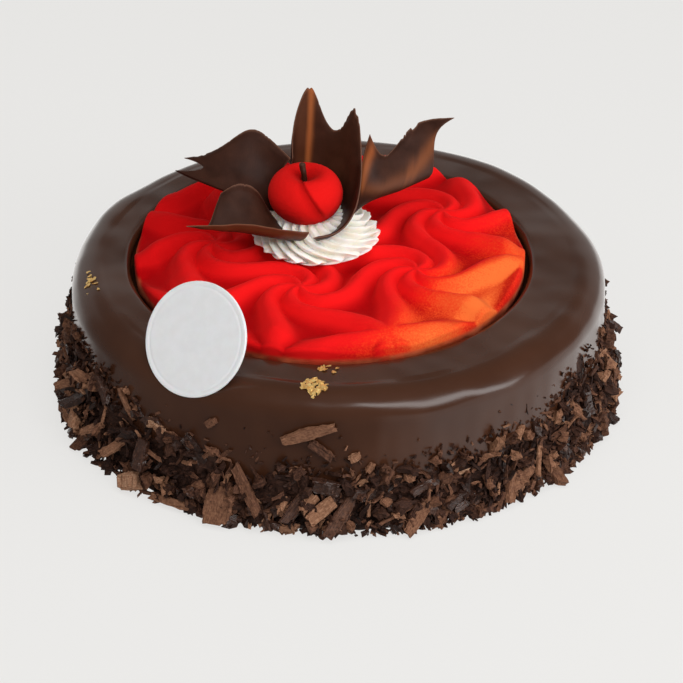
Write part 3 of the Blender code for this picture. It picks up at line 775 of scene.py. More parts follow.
@dataclass
class Cake:
    """The glazed cake, with a recess in its top that lies a little off its middle.

    Each pair for the ripples, the waver and the runs is a height and the length between crests.
    """

    radius: float = 100.0
    height: float = 55.0
    shoulder: float = 10.0
    foot: float = 1.2
    recess_centre: tuple[float, float] = (-3.2, 1.4)
    recess_radius: float = 74.9
    recess_depth: float = 5.0
    lip: float = 2.5
    columns: int = 540
    pile_depth: float = 4.4
    pile_middle: float = 28.0
    pile_dip: float = 4.0
    pile_lean: float = 2.0
    pile_fade: float = 14.0
    slow_ripples: tuple[float, float] = (0.16, 38.0)
    fine_ripples: tuple[float, float] = (0.05, 14.0)
    shoulder_waver: tuple[float, float] = (0.42, 42.0)
    slow_runs: tuple[float, float] = (0.30, 26.0)
    fine_runs: tuple[float, float] = (0.10, 9.0)
    drip_azimuth: float = math.radians(-92.8)
    drip_width: float = 0.026
    drip_height: float = 6.0
    drip_reach: float = 7.5

    def wave(self, azimuth: Array) -> Array:
        """How far the poured side stands out: 0.35 sin(2a + 0.6) + 0.25 sin(5a + 2.1)."""
        return 0.35 * np.sin(2 * azimuth + 0.6) + 0.25 * np.sin(5 * azimuth + 2.1)

    def pile_top(self, azimuth: Array) -> Array:
        """Height that the shavings reach: middle - dip cos(2 a + 180) - lean cos(a)."""
        dip = self.pile_dip * np.cos(2 * azimuth + np.pi)
        return self.pile_middle - dip - self.pile_lean * np.cos(azimuth)

    def pile(self, azimuth: Array, height: Array) -> Array:
        """Thickness of the pile of shavings at a place on the side."""
        reach = (self.pile_top(azimuth) - height) / self.pile_fade
        return self.pile_depth * smooth_step(reach)

    def profile(self) -> Array:
        """The section from the recess's middle over the ring and down to the underside.

        Returns:
            Points (r, z).
        """
        floor = self.height - self.recess_depth
        lip_centre = (self.recess_radius + self.lip, self.height - self.lip)
        shoulder_start = (self.radius - self.shoulder, self.height)
        shoulder_centre = (shoulder_start[0], self.height - self.shoulder)
        return np.concatenate([
            stretch((1.0, floor), (self.recess_radius, floor), 5),
            stretch((self.recess_radius, floor), (self.recess_radius, lip_centre[1]), 4),
            arc(lip_centre, self.lip, 180, 90, 12)[:-1],
            stretch((lip_centre[0], self.height), shoulder_start, 12),
            arc(shoulder_centre, self.shoulder, 90, 0, 34)[:-1],
            stretch((self.radius, shoulder_centre[1]), (self.radius, self.foot), 36),
            arc((self.radius - self.foot, self.foot), self.foot, 0, -90, 6),
            stretch((self.radius - 2 * self.foot, 0.0), (1.0, 0.0), 4),
        ])

    def surface(self) -> Skin:
        """The glaze as a surface turned round Z.

        P(a, s) = c(s) + (r(s) + d n_r(s)) (cos a, sin a), z(s) + d n_z(s), where c runs from the
        recess's middle to the cake's as r passes over the ring, n is the section's normal and d
        the sum of the pour's unevenness: slow ripples, a wavering shoulder and runs on the side.
        A drip stands out at the foot as drip_reach sqrt(1 - z / drip_height).

        Returns:
            The cake's skin.
        """
        section = self.profile()
        slope = np.gradient(section, axis=0)
        slope /= np.linalg.norm(slope, axis=1, keepdims=True)
        out, up = -slope[:, 1], slope[:, 0]
        azimuth = np.arange(self.columns) * 2 * np.pi / self.columns
        r, z = section[:, :1], section[:, 1:]
        ring_start = self.recess_radius + self.lip
        off = 1 - smooth_step((r - ring_start) / (self.radius - self.shoulder - ring_start))
        flat = np.stack(np.broadcast_arrays(r * np.cos(azimuth), r * np.sin(azimuth), z), axis=-1)
        outside = smooth_step((r - self.recess_radius) / self.lip)

        def rippled(kind: tuple[float, float], places: Array, seed: int) -> Array:
            """Ripples of one height and length."""
            return kind[0] * ripple(places, kind[1], seed)

        ripples = rippled(self.slow_ripples, flat, 11) + rippled(self.fine_ripples, flat, 12)
        round_rim = np.stack([np.cos(azimuth), np.sin(azimuth), 0 * azimuth], axis=-1) * self.radius
        turn = (z - (self.height - self.shoulder)) / self.shoulder
        corner = near(turn, 0.72, 0.4) * (r > self.radius - self.shoulder - 2)
        waver = corner * rippled(self.shoulder_waver, round_rim, 13)
        below = smooth_step((self.height - 6 - z) / 12) * (z > self.foot)
        runs = below * (rippled(self.slow_runs, round_rim, 14) + rippled(self.fine_runs, round_rim, 15))
        amount = outside * (ripples + waver + runs)
        side = smooth_step((r - self.shoulder) / self.radius * 2)
        drip = near(azimuth, self.drip_azimuth % (2 * np.pi), self.drip_width)
        drip = drip * (z < self.drip_height) * (r > self.radius - 4)
        stand = self.wave(azimuth) * side * (r > ring_start) * (r / self.radius)
        reach = r + amount * out[:, None] + stand
        reach = reach + self.drip_reach * drip * np.sqrt(np.clip(1 - z / self.drip_height, 0, 1))
        rise = z + amount * up[:, None] * (z > self.foot)
        x = self.recess_centre[0] * off + reach * np.cos(azimuth)
        y = self.recess_centre[1] * off + reach * np.sin(azimuth)
        return Skin.stacks(np.stack(np.broadcast_arrays(x, y, rise), axis=-1)[None])

    def build(self) -> None:
        """Puts the glazed cake in the scene."""
        piece = self.surface().piece("glazed_cake", GlazeFinish().material(), Shading.SMOOTH)
        dress(piece, Slot.GLAZE, "cake")


@dataclass(frozen=True)
class ShavingKind:
    """One kind of shaving: how many, how large (ranges in millimetres) and how it lies.

    A shaving is a stack of rows rings of columns points. square is the power that squares its
    section, curl and ridges bend and groove it, rough is the share by which corners stray, tilt
    is in degrees, crowd gathers the kind at the foot, highest is a share of the pile's height,
    bury the share of a thickness that is pressed in, glossy the share of glossy pieces, and
    sparse how much the kind thins out where the pile is sparse.
    """

    name: str
    count: int
    length: tuple[float, float]
    width: tuple[float, float]
    thickness: tuple[float, float]
    rows: int
    columns: int
    square: float
    curl: float
    ridges: float
    rough: float
    tilt: float
    crowd: float
    highest: float
    bury: float
    shade: tuple[float, float]
    glossy: float
    sparse: float


PLANKS = ShavingKind(
    name="shaving_planks", count=150, length=(8, 15), width=(3.2, 6.0), thickness=(1.6, 2.8),
    rows=12, columns=16, square=0.35, curl=0.35, ridges=0.22, rough=0.12, tilt=26, crowd=1.4,
    highest=0.98, bury=0.25, shade=(0.26, 0.7), glossy=0.25, sparse=0.0,
)
CHUNKS = ShavingKind(
    name="shaving_chunks", count=560, length=(3.2, 7.6), width=(2.2, 5.0),
    thickness=(1.8, 3.6), rows=5, columns=8, square=0.6, curl=0.2, ridges=0.25, rough=0.32,
    tilt=60, crowd=1.4, highest=1.05, bury=0.25, shade=(0.12, 0.74), glossy=0.2, sparse=0.0,
)
SHREDS = ShavingKind(
    name="shaving_shreds", count=2500, length=(2.8, 8.0), width=(0.9, 2.6),
    thickness=(0.6, 1.6), rows=4, columns=4, square=1.0, curl=0.9, ridges=0.0, rough=0.24,
    tilt=38, crowd=1.4, highest=1.02, bury=0.1, shade=(0.06, 0.72), glossy=0.1, sparse=0.75,
)
CRUMBS = ShavingKind(
    name="shaving_crumbs", count=3600, length=(0.8, 2.4), width=(0.6, 1.8),
    thickness=(0.5, 1.4), rows=2, columns=4, square=1.0, curl=0.3, ridges=0.0, rough=0.3,
    tilt=60, crowd=1.3, highest=1.26, bury=0.25, shade=(0.02, 0.5), glossy=0.06, sparse=0.5,
)


@dataclass(frozen=True)
class Plank:
    """One large shaving at a place of its own, with angles in degrees and sizes in millimetres."""

    azimuth: float
    height: float
    lie: float
    length: float
    width: float
    thickness: float
    shade: float
    gloss: float = 0.0


LARGE_PLANKS = (
    Plank(-95.9, 41.4, 21, 19.5, 4.8, 2.0, 0.58),
    Plank(-93.3, 34.6, -37, 10.0, 3.6, 1.6, 0.36),
    Plank(-92.2, 20.0, -12, 9.4, 6.0, 3.0, 0.20, 0.85),
    Plank(-93.0, 11.8, 43, 11.6, 5.2, 2.2, 0.70),
    Plank(-89.3, 9.4, 57, 17.0, 5.2, 2.0, 0.38, 0.3),
    Plank(-97.8, 13.6, 56, 16.0, 4.6, 2.0, 0.30, 0.4),
    Plank(-108.1, 15.9, -56, 19.0, 4.2, 2.0, 0.48),
    Plank(-113.8, 8.6, 86, 14.0, 11.6, 2.6, 0.56),
    Plank(-124.4, 3.2, 4, 19.0, 3.0, 2.2, 0.62),
    Plank(-134.7, 4.6, 25, 8.6, 7.2, 5.0, 0.80),
    Plank(-140.4, 14.4, 50, 14.0, 3.6, 1.8, 0.66),
    Plank(-139.4, 31.7, -49, 12.6, 2.2, 1.4, 0.60),
    Plank(-147.6, 30.4, -48, 10.4, 5.6, 2.4, 0.26, 0.8),
    Plank(-132.6, 17.6, -86, 11.4, 5.4, 2.6, 0.24, 0.85),
    Plank(-74.0, 6.4, 49, 13.6, 5.2, 2.0, 0.58),
    Plank(-65.1, 19.0, 14, 10.3, 1.2, 0.8, 0.92),
    Plank(-45.1, 13.3, 64, 11.0, 2.0, 1.0, 0.68),
    Plank(-78.1, 8.5, 22, 14.0, 1.3, 0.9, 0.50),
    Plank(-86.3, 31.9, 30, 4.2, 3.0, 1.8, 0.70),
    Plank(-83.2, 27.3, 60, 3.6, 2.4, 1.6, 0.62),
    Plank(-116.6, 39.5, 40, 4.8, 3.0, 1.6, 0.48),
    Plank(-131.4, 30.6, 20, 4.2, 3.8, 2.2, 0.84),
    Plank(-129.4, 29.4, -30, 4.4, 3.6, 2.2, 0.78),
    Plank(-148.4, 14.6, 40, 13.0, 3.2, 1.8, 0.64),
    Plank(-156.0, 12.9, -66, 10.0, 5.0, 3.2, 0.74),
)


@dataclass
class Shavings:
    """The pile of broken chocolate round the foot: a bed of crumbs and what lies on it.

    A few shavings stray above the pile. Each pair for the bed's lumps is a share of the pile's
    thickness and the size of the grain.
    """

    cake: Cake
    lowest: float = 0.25
    first_seed: int = 31
    sparse_way: float = math.radians(-118)
    stray_share: float = 0.09
    stray_fall: float = 7.0
    stray_top: float = 40.0
    bed_columns: int = 900
    bed_rows: int = 44
    bed_top: float = 42.0
    bed_sunk: float = 0.6
    bed_inside: float = 4.0
    bed_thickness: float = 0.42
    coarse_lumps: tuple[float, float] = (0.40, 4.2)
    fine_lumps: tuple[float, float] = (0.22, 1.3)
    # The bed's dark tone is partly the crumbs' own and partly painted shade in the gaps between the
    # shavings.
    bed_tone_and_painted_shade: float = 0.06
    lump_shade: float = 0.22

    def bed(self) -> Skin:
        """The bed of pressed crumbs, a hoop whose outer face is rough.

        r(a, z) = cake's radius + wave(a) + pile(a, z) (0.42 + 0.4 g4 + 0.22 g1) - 0.6, where g4 and
        g1 are grains of 4.2 and 1.3 mm. It sinks into the glaze where the pile runs out, and
        comes out of it with a step of 0.5 mm.

        Returns:
            The bed's skin.
        """
        azimuth = np.arange(self.bed_columns) * 2 * np.pi / self.bed_columns
        height = np.linspace(self.lowest, self.bed_top, self.bed_rows)[:, None]
        ring = np.stack([np.cos(azimuth), np.sin(azimuth), 0 * azimuth], axis=-1) * self.cake.radius
        places = ring[None] + height[..., None] * np.array((0.0, 0.0, 1.0))
        coarse, fine = self.coarse_lumps, self.fine_lumps
        lumps = self.bed_thickness + coarse[0] * grain(places, coarse[1], 21)
        lumps += fine[0] * grain(places, fine[1], 22)
        thick = self.cake.pile(azimuth, height + 3 * grain(places, 6.0, 23)) * lumps
        foot = smooth_step((height + 1.5) / 4)
        step = 0.5 * (thick > self.bed_sunk)
        reach = self.cake.radius + self.cake.wave(azimuth) - self.bed_sunk + (thick + step) * foot
        inner = np.full((2, self.bed_columns), self.cake.radius - self.bed_inside)
        reach = np.concatenate([reach, inner])
        level = np.concatenate([height, [[self.bed_top], [self.lowest]]])
        level = np.broadcast_to(level, reach.shape)
        # Painted shade, partly the crumbs' own dark tone: the bed is very dark, a little lighter where its
        # lumps are thicker.
        shade = self.bed_tone_and_painted_shade + self.lump_shade * np.concatenate([lumps, np.ones_like(inner) * 0.5])
        values = [reach * np.cos(azimuth), reach * np.sin(azimuth), level]
        values += [azimuth * self.cake.radius + 0 * reach, level, shade, 0 * reach]
        return Skin.hoop(np.stack(values, axis=-1), ("u", "v", "shade", "gloss"))

    def rings(self, kind: ShavingKind, size: Array, draw: np.random.Generator) -> Array:
        """Shavings of one kind lying flat, as stacks of rings round their length.

        Along s from -1 to 1 and round f: x = s L / 2, y = W / 2 k |cos f|^q, z = T / 2 |sin f|^q,
        each power with its sign. k narrows the ends, ridges run along the faces, and the whole is
        curled by c x2 / L and twisted along its length. Drawn moves make each corner uneven.

        Args:
            kind: the kind of shaving.
            size: length, width and thickness of each, shape (pieces, 3).
            draw: source of the random draws.

        Returns:
            Values x, y, z, u, v of shape (pieces, rows, columns, 5).
        """
        pieces = len(size)
        along = np.linspace(-1, 1, kind.rows)[None, :, None]
        angle = (np.arange(kind.columns) + 0.5) * 2 * np.pi / kind.columns

        def drawn(low: float, high: float) -> Array:
            """One draw for each piece."""
            return draw.uniform(low, high, (pieces, 1, 1))

        length, width, thickness = (size[:, i, None, None] for i in range(3))
        cos, sin = np.cos(angle), np.sin(angle)
        across = np.sign(cos) * np.abs(cos) ** kind.square
        through = np.sign(sin) * np.abs(sin) ** kind.square
        narrow = 1 - drawn(0.0, 0.45) * np.clip(along, 0, 1) - drawn(0.0, 0.35) * np.clip(-along, 0, 1)
        y = width / 2 * across * narrow
        ridge = kind.ridges * np.cos(y * drawn(3.2, 6.0) + drawn(0, 6.28) + 0.5 * along)
        z = thickness / 2 * through * (0.75 + 0.25 * narrow) + ridge * np.sign(through)
        ragged = drawn(-0.16, 0.16) * across + drawn(0.0, 0.10) * np.cos(across * drawn(2, 7))
        x = length / 2 * (along + ragged * np.abs(along) ** 3)
        jitter = draw.normal(size=(3, pieces, kind.rows, kind.columns)) * kind.rough
        x = x + jitter[0] * thickness * 0.8
        y = y + jitter[1] * np.minimum(width, 3.0) * 0.35
        z = z + jitter[2] * thickness * 0.5
        curl = kind.curl * drawn(-0.4, 1.0)
        z = z + curl * (x**2 / length - length / 12)
        twist = drawn(-0.5, 0.5) * kind.curl * x / length * 2
        y, z = y * np.cos(twist) - z * np.sin(twist), y * np.sin(twist) + z * np.cos(twist)
        shift = drawn(0, 400.0)
        return np.stack([x, y, z, x + shift, y + shift], axis=-1)

    def set_down(self, rings: Array, azimuth: Array, height: Array, turns: Array, lift: Array) -> Array:
        """Presses shavings on to the side of the pile.

        Args:
            rings: shavings lying flat, with x, y, z first in the last axis.
            azimuth: place round the cake of each.
            height: height of each.
            turns: lie, tilt and roll of each in radians, shape (pieces, 3).
            lift: how far each one's middle lies outside the cake's radius.

        Returns:
            The same values with the places in the cake's frame.
        """
        pieces = len(rings)
        lean = 0.45 * smooth_step(self.cake.pile(azimuth, height) / self.cake.pile_depth)
        upright = np.zeros((pieces, 3, 3))
        upright[:, :, 0] = np.stack([-np.sin(azimuth), np.cos(azimuth), 0 * azimuth], axis=-1)
        upright[:, :, 2] = np.stack(
            [np.cos(azimuth) * np.cos(lean), np.sin(azimuth) * np.cos(lean), np.sin(lean)], axis=-1
        )
        upright[:, :, 1] = np.cross(upright[:, :, 2], upright[:, :, 0])
        lie = turn_about(2, turns[:, 0]) @ turn_about(1, turns[:, 1]) @ turn_about(0, turns[:, 2])
        reach = self.cake.radius + self.cake.wave(azimuth) + lift
        middle = np.stack([reach * np.cos(azimuth), reach * np.sin(azimuth), height], axis=-1)
        placed = np.einsum("pij,prcj->prci", upright @ lie, rings[..., :3]) + middle[:, None, None]
        below = np.clip(self.lowest - placed[..., 2].min(axis=(1, 2)), 0, None)
        placed[..., 2] += below[:, None, None]
        return np.concatenate([placed, rings[..., 3:]], axis=-1)

    def finish_rings(
        self, rings: Array, shade: Array, gloss: Array, name: str, material: bpy.types.Material
    ) -> None:
        """Adds each shaving's shade and gloss, and puts the kind in the scene as one piece.

        Args:
            rings: values of every shaving.
            shade: how light each one is, from 0 to 1.
            gloss: how glossy each one is, from 0 to 1.
            name: the piece's name.
            material: its finish.
        """
        marks = np.stack([shade, gloss], axis=-1)[:, None, None]
        marks = np.broadcast_to(marks, (*rings.shape[:3], 2))
        skin = Skin.stacks(np.concatenate([rings, marks], axis=-1), ("u", "v", "shade", "gloss"))
        dress(skin.piece(name, material, Shading.FLAT), Slot.GLAZE, "cake")

    def scatter(
        self, kind: ShavingKind, seed: int, large: tuple[Plank, ...] = ()
    ) -> tuple[Array, Array, Array]:
        """Draws the places of one kind, more of them near the foot, and sets them down.

        Args:
            kind: the kind of shaving.
            seed: start of the random draws.
            large: shavings with places of their own, which come first.

        Returns:
            The values of the rings, and the shade and gloss of each shaving.
        """
        draw = np.random.default_rng(seed)
        azimuth = draw.uniform(-np.pi, np.pi, kind.count)
        azimuth = azimuth[draw.random(kind.count) > kind.sparse * near(azimuth, self.sparse_way, 0.7)]
        count = len(azimuth)
        top = self.cake.pile_top(azimuth) * kind.highest
        height = top * draw.random(count) ** kind.crowd + 0.6
        stray = draw.random(count) < self.stray_share
        above = np.minimum(0.8 * top + draw.exponential(self.stray_fall, count), self.stray_top)
        height = np.where(stray, above, height)
        spans = (kind.length, kind.width, kind.thickness)
        size = np.stack([draw.uniform(*span, count) for span in spans], axis=1)
        size *= np.where(stray, 0.6, 1.0)[:, None]
        tilt = math.radians(kind.tilt)
        turns = np.stack([
            draw.normal(math.radians(58), 0.9, count),
            draw.normal(0, tilt * 0.6, count),
            draw.normal(0, tilt * 0.6, count),
        ], axis=1)
        shade = kind.shade[0] + (kind.shade[1] - kind.shade[0]) * draw.random(count) ** 1.4
        gloss = np.where(draw.random(count) < kind.glossy, draw.uniform(0.5, 1.0, count), 0.0)
        shade = np.where(gloss > 0, shade * 0.45, shade)
        if large:
            clear = self.clear_of(azimuth, height, large)
            azimuth, height, size, turns, shade, gloss = (
                values[clear] for values in (azimuth, height, size, turns, shade, gloss)
            )
            own = np.array([
                [p.azimuth, p.height, p.lie, p.length, p.width, p.thickness] for p in large
            ])
            azimuth = np.concatenate([np.radians(own[:, 0]), azimuth])
            height = np.concatenate([own[:, 1], height])
            size = np.concatenate([own[:, 3:], size])
            flat = np.stack([np.radians(own[:, 2]), 0 * own[:, 0], 0 * own[:, 0]], axis=1)
            turns = np.concatenate([flat, turns])
            shade = np.concatenate([[p.shade for p in large], shade])
            gloss = np.concatenate([[p.gloss for p in large], gloss])
        depth = self.cake.pile(azimuth, height)
        lift = depth * draw.uniform(0.55, 1.05, len(azimuth)) + size[:, 2] * (0.5 - kind.bury)
        if large:
            lift[: len(large)] = depth[: len(large)] + size[: len(large), 2] * 0.45
        rings = self.rings(kind, size, draw)
        return self.set_down(rings, azimuth, height, turns, lift), shade, gloss

    def clear_of(self, azimuth: Array, height: Array, large: tuple[Plank, ...]) -> Array:
        """Whether each drawn place keeps clear of the large shavings' middles.

        Args:
            azimuth: place round the cake of each.
            height: height of each.
            large: the shavings with places of their own.

        Returns:
            True for each place that is free.
        """
        keep = np.ones(len(azimuth), bool)
        for plank in large:
            turn = np.angle(np.exp(1j * (azimuth - math.radians(plank.azimuth))))
            away = np.hypot(turn * self.cake.radius, height - plank.height)
            keep &= away > 0.45 * plank.length + 3
        return keep

    def build(self) -> None:
        """Puts the bed and every kind of shaving in the scene."""
        material = ShavingFinish().material()
        dress(self.bed().piece("crumb_bed", material, Shading.FLAT), Slot.GLAZE, "cake")
        for seed, kind in enumerate((PLANKS, CHUNKS, SHREDS, CRUMBS)):
            large = LARGE_PLANKS if kind is PLANKS else ()
            rings, shade, gloss = self.scatter(kind, self.first_seed + seed, large)
            self.finish_rings(rings, shade, gloss, kind.name, material)


@dataclass
class GoldLeaf:
    """Flakes of gold leaf on the ring.

    Each flake is an azimuth in degrees, a reach, a turn in degrees, a length and a width. Small
    bits lie scattered round them.
    """

    cake: Cake
    flakes: tuple = (
        (-97.0, 90.4, 20, 6.4, 4.0),
        (-93.6, 91.0, -15, 6.0, 3.8),
        (-95.2, 87.2, 70, 4.6, 3.6),
        (-95.4, 92.6, 40, 5.2, 3.2),
        (-93.8, 78.4, 10, 4.0, 2.4),
        (-169.8, 93.6, 60, 3.2, 2.0),
        (-168.2, 94.6, 20, 2.2, 1.6),
    )
    bits: int = 22
    bit_length: tuple[float, float] = (0.8, 2.4)
    bit_width: tuple[float, float] = (0.6, 1.5)
    spread: tuple[float, float] = (2.4, 2.6)
    held_up: float = 0.60
    rows: int = 9
    columns: int = 22
    crinkle: float = 0.55
    thickness: float = 0.12

    def build(self) -> None:
        """Lays crinkled sheets on the glaze.

        Over t from 0 to 1 and back, and round f: reach t (1 + lobes(f)), where lobes is the sum
        of three sines, height crinkled by grain and held up a little, and the sheet's two faces a
        thickness apart.
        """
        draw = np.random.default_rng(41)
        flakes = np.array(self.flakes, float)
        near_flake = flakes[draw.integers(0, len(flakes), self.bits)]
        spread = draw.normal(size=(self.bits, 2)) * self.spread
        small = np.stack([
            near_flake[:, 0] + spread[:, 0],
            near_flake[:, 1] + spread[:, 1],
            draw.uniform(0, 180, self.bits),
            draw.uniform(*self.bit_length, self.bits),
            draw.uniform(*self.bit_width, self.bits),
        ], axis=1)
        flakes = np.concatenate([flakes, small])
        azimuth, reach, turn, length, width = flakes.T
        out = np.concatenate([np.linspace(0.06, 1, self.rows), np.linspace(1, 0.06, self.rows)])
        face = np.repeat([0.5, -0.5], self.rows)
        angle = np.arange(self.columns) * 2 * np.pi / self.columns
        bumps = draw.uniform(0, 6.28, (len(flakes), 4, 1))
        lobes = 0.22 * np.sin(3 * angle + bumps[:, 0]) + 0.16 * np.sin(5 * angle + bumps[:, 1])
        lobes = 1 + lobes + 0.14 * np.sin(8 * angle + bumps[:, 2])
        x = (length[:, None] / 2 * np.cos(angle) * lobes)[:, None] * out[None, :, None]
        y = (width[:, None] / 2 * np.sin(angle) * lobes)[:, None] * out[None, :, None]
        spot = np.stack([x + 20 * np.arange(len(flakes))[:, None, None], y, 0 * x], axis=-1)
        rise = self.crinkle * (0.9 * grain(spot, 1.5, 42) + 0.5 * grain(spot, 0.7, 43))
        rise = rise * np.minimum(1, length / 4)[:, None, None]
        rise = rise + self.held_up + face[None, :, None] * self.thickness
        lie, way = np.radians(turn)[:, None, None], np.radians(azimuth)[:, None, None]
        outward = reach[:, None, None] + x * np.cos(lie) - y * np.sin(lie)
        sideways = x * np.sin(lie) + y * np.cos(lie)
        past = np.clip(outward - (self.cake.radius - self.cake.shoulder), 0, self.cake.shoulder)
        slope = np.arcsin(past / self.cake.shoulder)
        drop = self.cake.shoulder * (1 - np.cos(slope))
        r = outward + rise * np.sin(slope)
        place = [r * np.cos(way) - sideways * np.sin(way), r * np.sin(way) + sideways * np.cos(way)]
        place.append(self.cake.height - drop + rise * np.cos(slope))
        skin = Skin.stacks(np.stack(place, axis=-1))
        dress(skin.piece("gold_leaf", GoldFinish().material(), Shading.FLAT), Slot.GLAZE, "cake")


@dataclass
class VelvetInsert:
    """The red disc in the recess, moulded in seven whorls that link arm to arm.

    sway and nap are each the height of a ripple or grain and its size.
    """

    cells: int = 290
    floor: float = 56.7
    rise: float = 5.5
    rim_fall: float = 1.6
    rim_width: float = 9.0
    rim_round: float = 1.4
    underside: float = 50.3
    seat: float = 60.5
    seat_radius: float = 17.0
    seat_edge: float = 5.0
    middle: tuple[float, float] = (-0.1, 11.0)
    spacing: float = 44.9
    angle: float = math.radians(16.2)
    twist: float = math.radians(92)
    twist_reach: float = 15.8
    ridge_width: float = 6.4
    ridge_spread: float = 0.38
    ridge_core: float = 1.5
    ridge_power: float = 2.4
    front_fall: float = 0.9
    side_rows: int = 7
    side_level: float = 55.6
    side_blend: float = 2.0
    sway: tuple[float, float] = (0.10, 9.0)
    nap: tuple[float, float] = (0.035, 0.9)
    # Points to the right front, where the lights stand. The orange along it is partly painted light.
    spray_and_light_way: float = math.radians(-32)
    warm_start: float = 30.0
    warm_span: float = 40.0
    warm_breadth: float = 52.0
    shade_span: float = 4.0

    def __post_init__(self) -> None:
        """Reads the disc's middle and radius from the CAD node."""
        low, high = (np.array(corner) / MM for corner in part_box("swirl_insert"))
        self.centre = (low + high)[:2] / 2
        self.radius = float(high[0] - low[0]) / 2

    def whorls(self, x: Array, y: Array) -> Array:
        """Height of the whorls from 0 to 1 at places measured from the disc's middle.

        Three families of straight ridges cross at the middle of every whorl. Turning the plane
        round each middle by twist exp(-(distance / reach) squared) bends them into spiral arms.

        Args:
            x: places measured from the disc's middle.
            y: the same, towards the back.

        Returns:
            The heights.
        """
        bent_x, bent_y = x.copy(), y.copy()
        nearest = np.full_like(x, self.spacing)
        around = self.angle + np.arange(6) * np.pi / 3
        middles = [(0.0, 0.0), *zip(np.cos(around), np.sin(around))]
        for side_x, side_y in middles:
            dx = x - self.middle[0] - self.spacing * side_x
            dy = y - self.middle[1] - self.spacing * side_y
            away = np.hypot(dx, dy)
            nearest = np.minimum(nearest, away)
            turn = self.twist * np.exp(-((away / self.twist_reach) ** 2))
            bent_x += dx * np.cos(turn) - dy * np.sin(turn) - dx
            bent_y += dx * np.sin(turn) + dy * np.cos(turn) - dy
        row = self.spacing * math.sqrt(3) / 2
        width = np.minimum(self.ridge_width, self.ridge_spread * nearest + self.ridge_core)
        ridge = np.zeros_like(x)
        for family in range(3):
            way = self.angle + family * np.pi / 3
            offset = (bent_y - self.middle[1]) * math.cos(way)
            offset -= (bent_x - self.middle[0]) * math.sin(way)
            offset -= row * np.round(offset / row)
            ridge = np.maximum(ridge, np.exp(-(np.abs(offset / width) ** self.ridge_power)))
        return ridge

    def height(self, x: Array, y: Array, seat: Array) -> Array:
        """Height of the top: the whorls, falling at the rim and levelled under the cream.

        Args:
            x: places measured from the disc's middle.
            y: the same, towards the back.
            seat: the cream's place, x and y.

        Returns:
            The heights.
        """
        level = self.floor + self.rise * self.whorls(x, y)
        front = smooth_step(0.5 - 0.8 * np.sin(np.arctan2(y, x)))
        fall = self.rim_fall * (1 + self.front_fall * front)
        level -= fall * smooth_step((np.hypot(x, y) - self.radius) / self.rim_width + 1)
        away = np.hypot(x - seat[0], y - seat[1])
        free = smooth_step((away - self.seat_radius) / self.seat_edge)
        return self.seat + (level - self.seat) * free

    def disc(self) -> tuple[Array, Array]:
        """A square grid bent to a disc, so that its square rings become circles.

        A grid point (a, b) from -1 to 1 goes to the circle of radius max(|a|, |b|), at the angle
        that keeps the rings' points evenly spread.

        Returns:
            x and y of every grid point, from the disc's middle.
        """
        side = np.linspace(-1, 1, self.cells + 1)
        a, b = np.meshgrid(side, side, indexing="ij")
        wide = np.abs(a) >= np.abs(b)
        reach = np.where(wide, a, b)
        with np.errstate(divide="ignore", invalid="ignore"):
            bend = np.where(wide, b / a, a / b) * np.pi / 4
        bend = np.where(np.isfinite(bend), bend, 0.0)
        bend = np.where(wide, bend, np.pi / 2 - bend)
        top_radius = self.radius - self.rim_round
        return reach * np.cos(bend) * top_radius, reach * np.sin(bend) * top_radius

    def top(self, seat: Array) -> Array:
        """The top's values, with how orange and how darkened by painted shade each place is.

        The orange is partly the spray's own colour and partly painted light: it grows along
        spray_and_light_way, towards the lights, is strongest on the slopes that face them and fades
        to both sides. Painted shade darkens the hollows, where the spray is also thinner, and the
        side away from the lights.

        Args:
            seat: the cream's place, x and y.

        Returns:
            Values x, y, z, warm, hollow and side, one row for each grid point.
        """
        x, y = self.disc()
        z = self.height(x, y, seat)
        fuzz = np.stack([x, y, 0 * x], axis=-1)
        z = z + self.sway[0] * ripple(fuzz, self.sway[1], 51) + self.nap[0] * grain(fuzz, self.nap[1], 52)
        way_x, way_y = math.cos(self.spray_and_light_way), math.sin(self.spray_and_light_way)
        facing = self.height(x - way_x, y - way_y, seat) - self.height(x + way_x, y + way_y, seat)
        facing = np.clip(facing / 2, -0.8, 0.6)
        along = x * way_x + y * way_y
        beside = y * way_x - x * way_y
        # Orange, partly painted light, strongest on the slopes that face the lights.
        warm = smooth_step((along - self.warm_start) / self.warm_span) * (0.72 + 0.8 * facing)
        warm = warm * (0.45 + 0.55 * near(beside, 0.0, self.warm_breadth))
        # Painted shade in the hollows, where the spray is also thinner, and on the side away from the
        # lights.
        hollow = 1 - smooth_step((z - self.floor + 0.5) / self.shade_span)
        hollow = np.maximum(hollow, 0.55 * smooth_step((-along - 5) / 50))
        return np.stack([x, y, z, warm, hollow, 0 * x], axis=-1).reshape(-1, 6)

    def edge(self, rim_values: Array) -> list[Array]:
        """Rings from the top's rim over its rounded edge and down to the underside.

        Args:
            rim_values: the top's values along its rim, in order.

        Returns:
            The values of each ring, the lowest last.
        """
        angle = np.arctan2(rim_values[:, 1], rim_values[:, 0])
        corner = np.radians(np.array((30.0, 60.0, 90.0)))
        straight = self.side_rows - len(corner)
        out = np.concatenate([np.sin(corner), np.ones(straight)])
        down = np.concatenate([1 - np.cos(corner), np.linspace(1.4, 3.5, straight)])
        rings = []
        for part, drop in zip(out, down):
            ring = rim_values.copy()
            ring_radius = self.radius - self.rim_round + self.rim_round * part
            ring[:, 0], ring[:, 1] = ring_radius * np.cos(angle), ring_radius * np.sin(angle)
            ring[:, 2] -= self.rim_round * drop
            ring[:, 5] = smooth_step((self.side_level - ring[:, 2]) / self.side_blend)
            rings.append(ring)
        last = rings[-1].copy()
        last[:, 2] = self.underside
        return [*rings, last]

